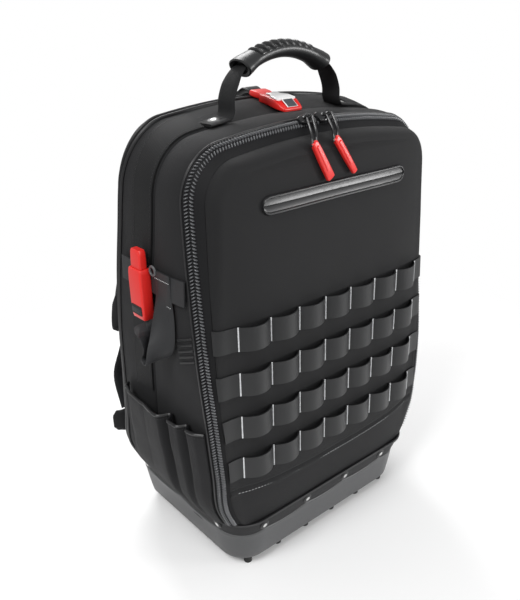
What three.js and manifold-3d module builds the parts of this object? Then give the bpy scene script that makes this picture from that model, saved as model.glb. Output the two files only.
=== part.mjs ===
// A tool backpack with a moulded tub base, in millimetres, +Z up, its front towards -Y.
// The origin is on the ground, in the middle of the whole object's box.
import Module from 'manifold-3d';
import * as THREE from 'three';
import { mergeVertices } from 'three/addons/utils/BufferGeometryUtils.js';

const wasm = await Module();
wasm.setup();

// The bag as a whole
const BAG_WIDTH = 336;
const BAG_HEIGHT = 443;
const BAG_DEPTH = 225;
const SHOULDER_RADIUS = 50;
const TOP_CROWN = 9.5;
const SEAM_RISE = 6;
const REAR_RISE = 17;
const CLOTH = 3;
const GAP = 0.3;

// The moulded tub, its studs, the trim band over its edge and the rivets
const STUD_HEIGHT = 10;
const STUD_RADIUS = 4.8;
const STUD_PITCH = 45.5;
const STUD_COLUMNS = 6;
const STUD_ROWS = 4;
const STUD_ROW_PITCH = 58;
const TUB_HEIGHT = 43;
const TUB_WALL = 3;
const TUB_TAPER = 6;
const TUB_EDGE = 4;
const HEM_TUCK = 8;
const BAND_HEIGHT = 20;
const BAND_THICKNESS = 2.2;
const BAND_GAP = 0.45;
const RIVET_RADIUS = 3.8;
const RIVET_HEIGHT = 1.6;
const FRONT_RIVET_PITCH = 65;
const FRONT_RIVET_SHIFT = -8;
const SIDE_RIVET_PITCH = 73.5;
const CORNER_RIVET_DEPTH = 13;

// The main zip and the lid inside it
const ZIP_TAPE_INSIDE = 8.5;
const ZIP_TAPE_OUTSIDE = 3;
const ZIP_TAPE_BACK = 6;
const ZIP_FORWARD = 0.6;
const ZIP_TAPE = 2;
const COIL_WIDTH = 8;
const COIL_HEIGHT = 2.2;
const LID_ROUND = 12;
const FACE_GAP = 0.35;
const LID_COLUMNS = 12;

// The webbing ladder on the lid
const WEBBING = 25.4;
const WEBBING_THICKNESS = 1.6;
const ROW_COUNT = 4;
const ROW_PITCH = 49.4;
const TOP_ROW_HEIGHT = 302.3;
const TACK_PITCH = 38;
const TACKS = 8;
const LOOP_BULGE = 9;
const WEBBING_SEAT = 0.5;

// The pocket zip on the lid
const POCKET_ZIP_LENGTH = 200;
const POCKET_ZIP_WIDTH = 19;
const POCKET_ZIP_DROP = 62;
const WELT = 3;
const WELT_RISE = 2.6;

// The rear compartment and the back panel
const GUSSET_CLOTH = 2.5;
const PIPING_RISE = 2;
const REAR_COIL_WIDTH = 4;
const REAR_COIL_HEIGHT = 1.8;
const GUSSET_TAPER = 4;
const BACK_ROUND = 12;
const BACK_TOP_ROUND = 8;

// The carrying handle
const HANDLE_SPAN = 114;
const HANDLE_RISE = 67;
const HANDLE_SAG = 15;
const HANDLE_DEPTH = 82;
const GRIP_WIDTH = 27;
const GRIP_HEIGHT = 17;
const GRIP_RIBS = 9;
const RIBBED_LENGTH = 76;
const RIB_CUT = 1.8;
const LEG_WIDTH = 26;
const LEG_THICKNESS = 3;
const LEG_SPREAD = 71;
const TAB_END = 100;
const HANDLE_RIVET_RADIUS = 5;
const HANDLE_RIVET_SPREAD = 87;

// The two zip sliders and their pulls
const SLIDER_LENGTH = 20;
const SLIDER_WIDTH = 15;
const SLIDER_HEIGHT = 5;
const BRIDGE_LENGTH = 11;
const BRIDGE_RADIUS = 2;
const BRIDGE_SINK = 0.5;
const SLIDER_PLACES = { left: -16, right: 9 };
const PULL_PLATE = 1.8;
const PULL_WIDTH = 7;
const PULL_GRIP_WIDTH = 10;
const PULL_GRIP_THICKNESS = 6;
const PULL_GRIP_LENGTH = 38;
const PULL_SEAT = 1.5;

// Straps and buckles on the sides and the top
const STRIP_WIDTH = 32;
const STRIP_THICKNESS = 1.8;
const STRIP_END_HEIGHT = 212;
const SIDE_STRAP_HEIGHT = 349;
const SIDE_STRAP_END = 145;
const SIDE_BUCKLE = { width: 23, height: 54, thickness: 13 };
const SIDE_TONGUE = { width: 19, height: 19, thickness: 8 };
const SIDE_BUCKLE_DEPTH = 99.5;
const SIDE_BUCKLE_HEIGHT = 334;
const TOP_BUCKLE = { width: 30, length: 40, height: 9 };
const TOP_BUCKLE_FRONT = 65;
const NOSE = 11;
const TOP_INSERT = { width: 22, length: 20, height: 7 };
const TOP_STRAP_WIDTH = 20;
const TOP_STRAP_THICKNESS = 1;

// The side pockets
const POCKET_MOUTH = 200;
const POCKET_BULGE = 15;
const POCKET_CLOTH = 1.8;
const POCKET_SEAT = 0.6;
const POCKET_REAR = 165;

// The carrying straps on the back
const STRAP_WIDTH = 56;
const STRAP_THICKNESS = 12;
const STRAP_STANDOFF = 24;
const STRAP_SEAT = 1.2;
const LOWER_STRAP_STANDOFF = 20;
const ADJUSTER = { width: 34, height: 22, thickness: 6 };
const WING_HEIGHT = 42;
const WING_THICKNESS = 9;
const WING_REACH = 168;

const HALF_WIDTH = BAG_WIDTH / 2;
const HEM_Z = STUD_HEIGHT + TUB_HEIGHT - HEM_TUCK;
const RIM_Z = STUD_HEIGHT + TUB_HEIGHT;
const BAND_TOP_Z = RIM_Z + BAND_HEIGHT;
const TOP_Z = HEM_Z + BAG_HEIGHT;
const POCKET_ZIP_HEIGHT = TOP_Z - POCKET_ZIP_DROP;
const HANDLE_CROWN_HEIGHT = TOP_Z + HANDLE_RISE;

// How the bag's lines run up its side. Heights are shares of BAG_HEIGHT above the hem, widths and
// insets shares of HALF_WIDTH, depths and the lid's setback shares of BAG_DEPTH.
const HEM = { width: 0.83, inset: 0.071, zip: 0.116, seam: 0.52, gusset: 0.844, piping: 0.902, back: 0.96,
  setback: 0.036 };
const SECTIONS = [
  { up: 0, ...HEM },
  { up: HEM_TUCK / BAG_HEIGHT, ...HEM },
  { up: (HEM_TUCK + BAND_HEIGHT) / BAG_HEIGHT, width: 0.878, inset: 0.045, zip: 0.062, seam: 0.52,
    gusset: 0.853, piping: 0.909, back: 0.964, setback: 0.01 },
  { up: 0.126, width: 0.952, inset: 0.044, zip: 0.047, seam: 0.52, gusset: 0.844, piping: 0.902, back: 0.96,
    setback: 0 },
  { up: 0.235, width: 0.972, inset: 0.034, zip: 0.036, seam: 0.511, gusset: 0.816, piping: 0.867,
    back: 0.922, setback: 0 },
  { up: 0.361, width: 0.98, inset: 0.021, zip: 0.042, seam: 0.493, gusset: 0.787, piping: 0.831,
    back: 0.884, setback: 0 },
  { up: 0.508, width: 0.987, inset: 0.018, zip: 0.069, seam: 0.462, gusset: 0.756, piping: 0.8, back: 0.853,
    setback: 0 },
  { up: 0.646, width: 0.985, inset: 0.021, zip: 0.098, seam: 0.427, gusset: 0.711, piping: 0.76, back: 0.816,
    setback: 0 },
  { up: 0.783, width: 0.97, inset: 0.021, zip: 0.129, seam: 0.387, gusset: 0.662, piping: 0.713, back: 0.776,
    setback: 0 },
  { up: 0.869, width: 0.963, inset: 0.024, zip: 0.142, seam: 0.364, gusset: 0.627, piping: 0.68,
    back: 0.745, setback: 0 },
  { up: 1, width: 0.952, inset: 0.024, zip: 0.138, seam: 0.342, gusset: 0.533, piping: 0.588, back: 0.67,
    setback: 0 },
];

// A side pocket's mouth, from its rear end forward: along is the share of its length, out the share of
// POCKET_BULGE that the cloth stands off the bag's side.
const POCKET_FOLDS = [
  { along: 0, out: 0 },
  { along: 0.06, out: 0.4 },
  { along: 0.25, out: 0.82 },
  { along: 0.45, out: 1 },
  { along: 0.56, out: 0.92 },
  { along: 0.6, out: 0.16 },
  { along: 0.66, out: 0.55 },
  { along: 0.76, out: 0.5 },
  { along: 0.81, out: 0.1 },
  { along: 0.86, out: 0.35 },
  { along: 0.94, out: 0.3 },
  { along: 1, out: 0 },
];

// A shoulder strap from its top end down: up is the share of BAG_HEIGHT, aside the share of HALF_WIDTH,
// stand the share of STRAP_STANDOFF that it stands off the back panel.
const STRAP_PATH = [
  { up: 0.98, aside: 0.34, stand: 0 },
  { up: 0.93, aside: 0.39, stand: 0.12 },
  { up: 0.86, aside: 0.48, stand: 0.45 },
  { up: 0.78, aside: 0.585, stand: 0.75 },
  { up: 0.67, aside: 0.68, stand: 0.95 },
  { up: 0.57, aside: 0.715, stand: 1 },
  { up: 0.49, aside: 0.73, stand: 0.97 },
  { up: 0.43, aside: 0.735, stand: 0.92 },
];

const { lerp, degToRad } = THREE.MathUtils;

/** A point, in millimetres. */
function point(x, y, z) {
  return new THREE.Vector3(x, y, z);
}

/** A closed geometry from points and triangles, turned so that its faces point out. */
function closedGeometry(points, triangles) {
  const cross = new THREE.Vector3();
  const volume = triangles.reduce((sum, [a, b, c]) =>
    sum + points[a].dot(cross.crossVectors(points[b], points[c])), 0);
  const geometry = new THREE.BufferGeometry().setFromPoints(points);
  geometry.setIndex(triangles.flatMap(([a, b, c]) => (volume < 0 ? [a, c, b] : [a, b, c])));
  return geometry;
}

/** The two triangles of the face between four points, split along its shorter diagonal. */
function quad(points, a, b, c, d) {
  const level = points[a].distanceTo(points[c]) - points[b].distanceTo(points[d]) < 1e-6;
  return level ? [[a, b, c], [a, c, d]] : [[a, b, d], [b, c, d]];
}

/** Triangles across a ring of points, in strips between its points taken in pairs from both ends. */
function stripCap(first, count) {
  const triangles = [];
  for (let i = 0; i < Math.ceil(count / 2) - 1; i += 1) {
    const [near, far] = [first + i, first + count - 1 - i];
    triangles.push([near, near + 1, far]);
    if (near + 1 !== far - 1) triangles.push([near + 1, far - 1, far]);
  }
  return triangles;
}

/** A solid through rings of points, capped at its ends, or joined round if it is a closed band. */
function loft(rings, { round = false } = {}) {
  const points = rings.flat();
  const count = rings[0].length;
  const triangles = [];
  const bands = round ? rings.length : rings.length - 1;
  for (let i = 0; i < bands; i += 1) {
    const [low, high] = [i * count, ((i + 1) % rings.length) * count];
    for (let j = 0; j < count; j += 1) {
      const next = (j + 1) % count;
      triangles.push(...quad(points, low + j, low + next, high + next, high + j));
    }
  }
  if (!round) {
    triangles.push(...stripCap(0, count).map(([a, b, c]) => [c, b, a]));
    triangles.push(...stripCap((rings.length - 1) * count, count));
  }
  return closedGeometry(points, triangles);
}

/** Flat webbing along a path: each row gives a point on its inner face and the direction across it. */
function ribbon(path, width, thickness, outward) {
  const rings = path.map(({ at, across }, i) => {
    const before = path[Math.max(i - 1, 0)].at;
    const after = path[Math.min(i + 1, path.length - 1)].at;
    const along = after.clone().sub(before).normalize();
    const side = across.clone().addScaledVector(along, -across.dot(along)).normalize();
    const out = side.clone().cross(along).multiplyScalar(outward * thickness);
    const near = at.clone().addScaledVector(side, -width / 2);
    const far = at.clone().addScaledVector(side, width / 2);
    return [near, far, far.clone().add(out), near.clone().add(out)];
  });
  return loft(rings);
}

/** A plate with round corners and a bevelled edge, centred on the origin with its thickness along +Z. */
function roundedPlate(width, height, thickness, radius, bevel) {
  const [w, h] = [width / 2 - bevel, height / 2 - bevel];
  const shape = new THREE.Shape();
  shape.moveTo(-w + radius, -h).lineTo(w - radius, -h).absarc(w - radius, -h + radius, radius, -Math.PI / 2,
    0);
  shape.lineTo(w, h - radius).absarc(w - radius, h - radius, radius, 0, Math.PI / 2);
  shape.lineTo(-w + radius, h).absarc(-w + radius, h - radius, radius, Math.PI / 2, Math.PI);
  shape.lineTo(-w, -h + radius).absarc(-w + radius, -h + radius, radius, Math.PI, Math.PI * 1.5);
  const geometry = new THREE.ExtrudeGeometry(shape, {
    depth: thickness - 2 * bevel, bevelThickness: bevel, bevelSize: bevel, bevelSegments: 1,
      curveSegments: 2,
  });
  return geometry.translate(0, 0, bevel);
}

/** A manifold solid from a closed geometry. */
function solidOf(geometry) {
  const bare = geometry.clone();
  bare.deleteAttribute('normal');
  bare.deleteAttribute('uv');
  const merged = mergeVertices(bare, 1e-4);
  const mesh = new wasm.Mesh({
    numProp: 3,
    vertProperties: Float32Array.from(merged.attributes.position.array),
    triVerts: Uint32Array.from(merged.index.array),
  });
  return new wasm.Manifold(mesh);
}

/** The geometry of a manifold solid. */
function geometryOf(solid) {
  const mesh = solid.getMesh();
  const geometry = new THREE.BufferGeometry();
  geometry.setAttribute('position', new THREE.BufferAttribute(Float32Array.from(mesh.vertProperties), 3));
  geometry.setIndex(Array.from(mesh.triVerts));
  return geometry;
}

/** The value of one column of SECTIONS at a height, as a share. */
function share(column, up) {
  const upper = Math.max(1, SECTIONS.findIndex((row) => row.up >= up - 1e-9));
  const [low, high] = [SECTIONS[upper - 1], SECTIONS[upper]];
  return lerp(low[column], high[column], (up - low.up) / (high.up - low.up));
}

const depthOf = (column, up) => share(column, up) * BAG_DEPTH;

// The bag's outline from the front is an arch: two sides, a round shoulder and a crowned top. Each
// station on it has a place, the direction out of the arch and its share of the height.
const SHOULDER_X = HALF_WIDTH - SHOULDER_RADIUS;
const SHOULDER_TURN = Math.atan((2 * TOP_CROWN) / SHOULDER_X);
const SHOULDER_Z = TOP_Z - TOP_CROWN - SHOULDER_RADIUS * Math.cos(SHOULDER_TURN);
const CROWN_X = SHOULDER_X + SHOULDER_RADIUS * Math.sin(SHOULDER_TURN);

/** The share of the bag's height at a height in millimetres. */
function upAt(z) {
  return (z - HEM_Z) / BAG_HEIGHT;
}

/** A station on the arch's side at a height; side is -1 on the left and 1 on the right. */
function sideStation(side, z) {
  return { x: side * share('width', upAt(z)) * HALF_WIDTH, z, nx: side, nz: 0, up: upAt(z) };
}

/** A station on the round shoulder, by the share of its turn. */
function shoulderStation(side, turn) {
  const angle = turn * (Math.PI / 2 - SHOULDER_TURN);
  const [nx, nz] = [Math.cos(angle), Math.sin(angle)];
  const reach = share('width', upAt(SHOULDER_Z)) * HALF_WIDTH - SHOULDER_RADIUS;
  const z = SHOULDER_Z + SHOULDER_RADIUS * nz;
  return { x: side * (reach + SHOULDER_RADIUS * nx), z, nx: side * nx, nz, up: upAt(z) };
}

/** A station on the crowned top at a distance from the middle. */
function topStation(x) {
  const span = shoulderStation(1, 1).x;
  const z = shoulderStation(1, 1).z + TOP_CROWN * (1 - (x / span) ** 2);
  const normal = new THREE.Vector2((2 * TOP_CROWN * x) / span ** 2, 1).normalize();
  return { x, z, nx: normal.x, nz: normal.y, up: Math.min(1, upAt(z)) };
}

const TOP_STEPS = [0.75, 0.48, 0.18];
const SHOULDER_STEPS = 5;
const SHOULDER_CLEARANCE = 12;

/** Half of the arch's stations, from the hem up to the middle of the top. */
function halfArch(side) {
  const sides = SECTIONS.filter((row) => HEM_Z + row.up * BAG_HEIGHT < SHOULDER_Z - SHOULDER_CLEARANCE)
    .map((row) => sideStation(side, HEM_Z + row.up * BAG_HEIGHT));
  const turns = Array.from({ length: SHOULDER_STEPS + 1 }, (_, i) =>
    shoulderStation(side, i / SHOULDER_STEPS));
  return [...sides, ...turns, ...TOP_STEPS.map((step) => topStation(side * step * CROWN_X))];
}

const ARCH = [...halfArch(-1), ...halfArch(1).reverse()];
const HEM_STATIONS = 3;

/** A point beside a station: out from the arch by side or rise, at a depth. */
function beside(station, { side, rise, depth }, out = 0) {
  return point(station.x + station.nx * (side + out), depth, station.z + station.nz * (rise + out));
}

/** Whether a station is above the trim band, where coils and piping show. */
const clearOfBand = (station) => (station.z > BAND_TOP_Z + 1 ? 1 : 0);

const zipCentre = (s) =>
  ({ side: -share('inset', s.up) * HALF_WIDTH, rise: 0, depth: depthOf('zip', s.up) });
const zipInside = (s) => {
  const centre = zipCentre(s);
  return { side: centre.side - ZIP_TAPE_INSIDE, rise: -ZIP_TAPE_INSIDE, depth: centre.depth * ZIP_FORWARD };
};
const zipOutside = (s) => {
  const centre = zipCentre(s);
  return { side: centre.side + ZIP_TAPE_OUTSIDE, rise: ZIP_TAPE_OUTSIDE,
    depth: centre.depth + ZIP_TAPE_BACK };
};

/** The lines of the bag's side and top at a station, from the zip back to the rear compartment. */
function bodyLines(s) {
  const zip = zipOutside(s);
  const front = { ...zip, depth: zip.depth + GAP };
  const seam = { side: 0, rise: SEAM_RISE, depth: depthOf('seam', s.up) };
  const rear = { side: 0, rise: REAR_RISE, depth: depthOf('gusset', s.up) };
  const turn = { side: front.side / 4, rise: (front.rise + seam.rise) / 2,
    depth: lerp(front.depth, seam.depth, 0.25) };
  const flank = { side: 0, rise: (seam.rise + rear.rise) / 2, depth: (seam.depth + rear.depth) / 2 };
  return [front, turn, seam, flank, rear];
}

/** A point on the bag's outer face at a station and a depth, lifted off it by out. */
function onBag(s, depth, out = 0) {
  const lines = bodyLines(s);
  const upper = Math.min(lines.length - 1, Math.max(1, lines.findIndex((line) => line.depth >= depth)));
  const [low, high] = [lines[upper - 1], lines[upper]];
  const part = THREE.MathUtils.clamp((depth - low.depth) / (high.depth - low.depth), 0, 1);
  return beside(s, { side: lerp(low.side, high.side, part), rise: lerp(low.rise, high.rise, part), depth },
    out);
}

/** The lid's front face: nearly flat in the middle and curving back towards its sides. */
function faceDepth(x) {
  const reach = x / (HALF_WIDTH * 0.893);
  return -6.3 * reach ** 2 + 14.1 * reach ** 4;
}

/** How far the lid's face lies back at a height, where it runs down into the tub. */
function setback(up) {
  return share('setback', up) * BAG_DEPTH;
}

// The angles of the facets round the lid's edge and round the back panel's, from the seam to the face.
const LID_STEPS = [0, 30, 60, 90];
const BACK_STEPS = [0, 35, 65, 90];

const backpack = new THREE.Group();

/** Adds a named piece. */
function addPiece(name, geometry, material, parent = backpack) {
  const mesh = new THREE.Mesh(geometry, material);
  mesh.name = name;
  parent.add(mesh);
  return mesh;
}

const finish = (color, roughness, metalness = 0) =>
  new THREE.MeshStandardMaterial({ color, roughness, metalness });
const BLACK_NYLON = finish(0x2a2a2b, 0.85);
const GREY_PLASTIC = finish(0x66686a, 0.6);
const BLACK_PLASTIC = finish(0x1b1c1d, 0.4);
const BLACK_WEBBING = finish(0x222324, 0.45);
const RIVET_STEEL = finish(0xc9cacb, 0.3, 1);
const RED_PLASTIC = finish(0xe32a26, 0.4);
const PALE_PLASTIC = finish(0xf2f2f2, 0.25);
const ZIP_COIL = finish(0x303134, 0.35);

/** The lid's edge strip at a station and angle: 0 is at the zip and 90 at the seam with the face. */
function lidPoint(s, angle, inner) {
  const turn = 1 - Math.cos(degToRad(angle));
  const edge = zipInside(s);
  const inset = inner * CLOTH + (LID_ROUND - inner * CLOTH) * turn;
  const faceX = s.x + s.nx * (edge.side - LID_ROUND);
  const face = faceDepth(faceX) + setback(s.up) + inner * CLOTH;
  const depth = lerp(edge.depth - GAP, face, Math.sin(degToRad(angle)));
  return beside(s, { side: edge.side - inset, rise: edge.rise - inset, depth });
}

/** The lid's edge: a strip that turns from the zip round to the front face. */
function lidEdgeGeometry() {
  return loft(ARCH.map((s) => [
    ...LID_STEPS.map((angle) => lidPoint(s, angle, 0)),
    ...[...LID_STEPS].reverse().map((angle) => lidPoint(s, angle, 1)),
  ]));
}

/** One skin of the lid's face: rows of columns between the edges, drawn in from the edge strip. */
function faceSkin(points, triangles, inner) {
  const rim = ARCH.map((s) => beside(
    s,
    { side: zipInside(s).side - LID_ROUND, rise: zipInside(s).rise - LID_ROUND, depth: 0 },
    -FACE_GAP,
  ));
  const place = (x, up, z) => point(x, faceDepth(x) + setback(up) + inner * CLOTH, z);
  const rows = [];
  for (let k = 0; k < ARCH.length / 2; k += 1) {
    const [left, right] = [rim[k], rim[ARCH.length - 1 - k]];
    rows.push(Array.from({ length: LID_COLUMNS + 1 }, (_, j) => {
      points.push(place(lerp(left.x, right.x, j / LID_COLUMNS), ARCH[k].up, left.z));
      return points.length - 1;
    }));
  }
  for (let k = 1; k < rows.length; k += 1) {
    for (let j = 0; j < LID_COLUMNS; j += 1) {
      triangles.push(...quad(points, rows[k - 1][j], rows[k - 1][j + 1], rows[k][j + 1], rows[k][j]));
    }
  }
  const [foot, top] = [rows[0], rows[rows.length - 1]];
  return [...foot, ...rows.slice(1, -1).map((row) => row[LID_COLUMNS]), ...[...top].reverse(),
    ...rows.slice(1, -1).reverse().map((row) => row[0])];
}

/** The lid's crowned front face. */
function lidFaceGeometry() {
  const points = [];
  const front = [];
  const back = [];
  const near = faceSkin(points, front, 0);
  const far = faceSkin(points, back, 1);
  const sides = near.flatMap((_, i) => {
    const next = (i + 1) % near.length;
    return quad(points, near[i], far[i], far[next], near[next]);
  });
  return closedGeometry(points, [...front, ...back.map(([a, b, c]) => [c, b, a]), ...sides]);
}

addPiece('front_lid', lidFaceGeometry(), BLACK_NYLON);
addPiece('lid_edge', lidEdgeGeometry(), BLACK_NYLON);

/** The main zip's outer face at a station: the coil standing up between its two tapes. */
function zipFace(s) {
  const [inside, centre, outside] = [zipInside(s), zipCentre(s), zipOutside(s)];
  const across = new THREE.Vector2(outside.rise - inside.rise, outside.depth - inside.depth).normalize();
  const rise = 0.05 + clearOfBand(s) * COIL_HEIGHT;
  const coil = [[-1 / 2, 0], [-1 / 3, rise], [1 / 3, rise], [1 / 2, 0]].map(([part, height]) => {
    const along = part * COIL_WIDTH;
    const depth = centre.depth + along * across.y - height * across.x;
    return beside(s, { ...centre, depth }, along * across.x + height * across.y);
  });
  return [beside(s, inside), ...coil, beside(s, outside)];
}

/** The main zip at a station, with the back of its tapes. */
function mainZipRing(s) {
  const [inside, outside] = [zipInside(s), zipOutside(s)];
  return [
    ...zipFace(s),
    beside(s, { ...outside, side: outside.side - ZIP_TAPE, rise: outside.rise - ZIP_TAPE }),
    beside(s, { ...inside, depth: inside.depth + ZIP_TAPE }),
  ];
}

addPiece('main_zip', loft(ARCH.map(mainZipRing)), ZIP_COIL);

/** The bag's side and top wall, from the zip to the rear compartment. */
function bodyRing(s) {
  const lines = bodyLines(s);
  return [...lines.map((line) => beside(s, line)),
    ...lines.reverse().map((line) => beside(s, line, -CLOTH))];
}

addPiece('bag_body', loft(ARCH.map(bodyRing)), BLACK_NYLON);

const gussetFront = (s) => ({ side: 0, rise: REAR_RISE, depth: depthOf('gusset', s.up) + GAP });
const gussetRear = (s) => ({ side: -GUSSET_TAPER, rise: REAR_RISE, depth: depthOf('piping', s.up) });

/** A point on the rear gusset: along from its front seam to its rear one, lifted by out. */
function onGusset(s, along, out) {
  const [front, rear] = [gussetFront(s), gussetRear(s)];
  return beside(s, { side: lerp(front.side, rear.side, along), rise: front.rise,
    depth: lerp(front.depth, rear.depth, along) }, out);
}

/** The rear compartment's gusset with a round piping along each seam. */
function gussetRing(s) {
  const piping = PIPING_RISE * clearOfBand(s);
  const outer = [[0, 0], [0.12, piping], [0.26, 0], [0.74, 0], [0.88, piping], [1, 0]];
  const inner = [[1, -GUSSET_CLOTH], [0.74, -GUSSET_CLOTH], [0.26, -GUSSET_CLOTH], [0, -GUSSET_CLOTH]];
  return [...outer, ...inner].map(([along, out]) => onGusset(s, along, out));
}

addPiece('rear_gusset', loft(ARCH.map(gussetRing)), BLACK_NYLON);

/** The coil of the rear compartment's zip, in the channel between the two pipings. */
function rearZipRing(s) {
  const half = REAR_COIL_WIDTH / 2 / (gussetRear(s).depth - gussetFront(s).depth);
  return [[0.5 - half, GAP], [0.5 + half, GAP], [0.5 + half / 2, REAR_COIL_HEIGHT],
    [0.5 - half / 2, REAR_COIL_HEIGHT]]
    .map(([along, out]) => onGusset(s, along, out));
}

addPiece('rear_zip', loft(ARCH.slice(HEM_STATIONS, -HEM_STATIONS).map(rearZipRing)), ZIP_COIL);

/** One ring of the padded back panel: angle 0 is its seam and 90 the edge of its rear face. */
function backRing(angle) {
  const turn = 1 - Math.cos(degToRad(angle));
  return ARCH.map((s) => {
    const seam = gussetRear(s);
    const depth = lerp(seam.depth + GAP, depthOf('back', s.up), Math.sin(degToRad(angle)));
    return beside(s, { side: seam.side - BACK_ROUND * turn, rise: seam.rise - BACK_TOP_ROUND * turn,
      depth });
  });
}

addPiece('back_panel', loft(BACK_STEPS.map(backRing)), BLACK_NYLON);

const BACK_EDGE = backRing(90).slice(0, ARCH.length / 2);

/** The depth of the back panel's rear face at a height. */
function backFace(z) {
  const upper = Math.max(1, BACK_EDGE.findIndex((p, i) => p.z >= z || i === BACK_EDGE.length - 1));
  const [low, high] = [BACK_EDGE[upper - 1], BACK_EDGE[upper]];
  return lerp(low.y, high.y, Math.min(1, (z - low.z) / (high.z - low.z)));
}

/** The bag's outline from above at one of its hem stations, left edge first, all the way round. */
function planOutline(station) {
  const pair = [ARCH[station], ARCH[ARCH.length - 1 - station]];
  const edges = pair.map((s) => {
    const edge = zipInside(s);
    return LID_STEPS.map((angle) => {
      const inset = LID_ROUND * (1 - Math.cos(degToRad(angle)));
      const faceX = s.x + s.nx * (edge.side - LID_ROUND);
      const depth = lerp(edge.depth, faceDepth(faceX) + setback(s.up), Math.sin(degToRad(angle)));
      return beside(s, { side: edge.side - inset, rise: 0, depth });
    });
  });
  const flanks = pair.map((s) => [
    ...zipFace(s).slice(1, -1),
    ...bodyLines(s).map((line) => beside(s, line)),
    ...BACK_STEPS.map((angle) => {
      const seam = gussetRear(s);
      const depth = lerp(seam.depth, depthOf('back', s.up), Math.sin(degToRad(angle)));
      return beside(s, { side: seam.side - BACK_ROUND * (1 - Math.cos(degToRad(angle))), rise: 0, depth });
    }),
  ]);
  const [left, right] = edges.map((edge) => edge[edge.length - 1]);
  const face = [];
  for (let j = 1; j < LID_COLUMNS; j += 1) {
    const x = lerp(left.x, right.x, j / LID_COLUMNS);
    face.push(point(x, faceDepth(x) + setback(pair[0].up), left.z));
  }
  return [...edges[0], ...face, ...edges[1].reverse(), ...flanks[1], ...flanks[0].reverse()];
}

/** An outline moved out by a distance, or in by a negative one, at a height. */
function offsetOutline(outline, distance, z) {
  return outline.map((p, i) => {
    const before = outline[(i + outline.length - 1) % outline.length];
    const after = outline[(i + 1) % outline.length];
    const along = after.clone().sub(before).setZ(0).normalize();
    return point(p.x + along.y * distance, p.y - along.x * distance, z);
  });
}

/** An outline drawn in towards its middle, as the tub's sides taper. */
function taperedOutline(outline, taper) {
  const box = new THREE.Box3().setFromPoints(outline);
  const [middle, size] = [box.getCenter(new THREE.Vector3()), box.getSize(new THREE.Vector3())];
  return outline.map((p) => point(
    middle.x + (p.x - middle.x) * (1 - (2 * taper) / size.x),
    middle.y + (p.y - middle.y) * (1 - (2 * taper) / size.y),
    p.z,
  ));
}

const HEM_OUTLINE = planOutline(0);
const BAND_OUTLINE = planOutline(2);

/** The moulded tub: a tapered tray with a round bottom edge, standing on rows of studs. */
function tubGeometry() {
  const at = (distance, taper, z) => taperedOutline(offsetOutline(HEM_OUTLINE, distance, z), taper);
  const outer = GAP + TUB_WALL;
  const floor = STUD_HEIGHT + TUB_WALL;
  const tray = loft([
    at(outer, TUB_TAPER + TUB_EDGE, STUD_HEIGHT),
    at(outer, TUB_TAPER + TUB_EDGE / 3, STUD_HEIGHT + TUB_EDGE / 3),
    at(outer, TUB_TAPER, STUD_HEIGHT + TUB_EDGE),
    at(outer, 0, RIM_Z),
    at(GAP, 0, RIM_Z),
    at(GAP, 0, HEM_Z - GAP),
    at(GAP, TUB_TAPER, floor + TUB_EDGE),
    at(GAP, TUB_TAPER + TUB_EDGE, floor),
  ]);
  const middle = new THREE.Box3().setFromPoints(HEM_OUTLINE).getCenter(new THREE.Vector3()).y;
  let solid = solidOf(tray);
  for (let i = 0; i < STUD_COLUMNS; i += 1) {
    for (let j = 0; j < STUD_ROWS; j += 1) {
      const stud = new THREE.CylinderGeometry(STUD_RADIUS, STUD_RADIUS * 0.85, STUD_HEIGHT + TUB_WALL / 2,
        8);
      stud.rotateX(Math.PI / 2);
      stud.translate(
        (i - (STUD_COLUMNS - 1) / 2) * STUD_PITCH,
        middle + (j - (STUD_ROWS - 1) / 2) * STUD_ROW_PITCH,
        (STUD_HEIGHT + TUB_WALL / 2) / 2,
      );
      solid = solid.add(solidOf(stud));
    }
  }
  return geometryOf(solid);
}

addPiece('base_tub', tubGeometry(), GREY_PLASTIC);

/** The outline of the bag at a share of the trim band's height, moved out by a distance. */
function bandOutline(part, distance) {
  const [low, high] = [offsetOutline(HEM_OUTLINE, distance, RIM_Z),
    offsetOutline(BAND_OUTLINE, distance, BAND_TOP_Z)];
  return low.map((p, i) => p.clone().lerp(high[i], part));
}

/** The ribbed band of trim that covers the cloth's edge above the tub. */
function bandGeometry() {
  const foot = GAP / BAND_HEIGHT;
  const [near, far] = [BAND_GAP, BAND_GAP + BAND_THICKNESS];
  const faces = [bandOutline(foot, near), bandOutline(1, near), bandOutline(1, far),
    bandOutline(foot, far)];
  return loft(faces[0].map((_, i) => faces.map((face) => face[i])), { round: true });
}

addPiece('rim_band', bandGeometry(), BLACK_PLASTIC);

const BAND_FACE = [0, 0.5, 1].map((part) => bandOutline(part, BAND_GAP + BAND_THICKNESS + GAP));

/**
 * The place and outward direction on the middle of the trim band, on its part that is wanted, where axis is
 * at value.
 */
function onBand(axis, value, wanted) {
  const [low, middle, high] = BAND_FACE;
  for (let i = 0; i < middle.length; i += 1) {
    const next = (i + 1) % middle.length;
    const [a, b] = [middle[i], middle[next]];
    const part = (value - a[axis]) / (b[axis] - a[axis]);
    if (part >= 0 && part < 1 && wanted(a)) {
      const up = high[i].clone().lerp(high[next], part).sub(low[i].clone().lerp(low[next], part));
      return { at: a.clone().lerp(b, part), out: b.clone().sub(a).cross(up).normalize() };
    }
  }
  throw new Error(`no place on the trim band at ${axis} ${value}`);
}

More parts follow.
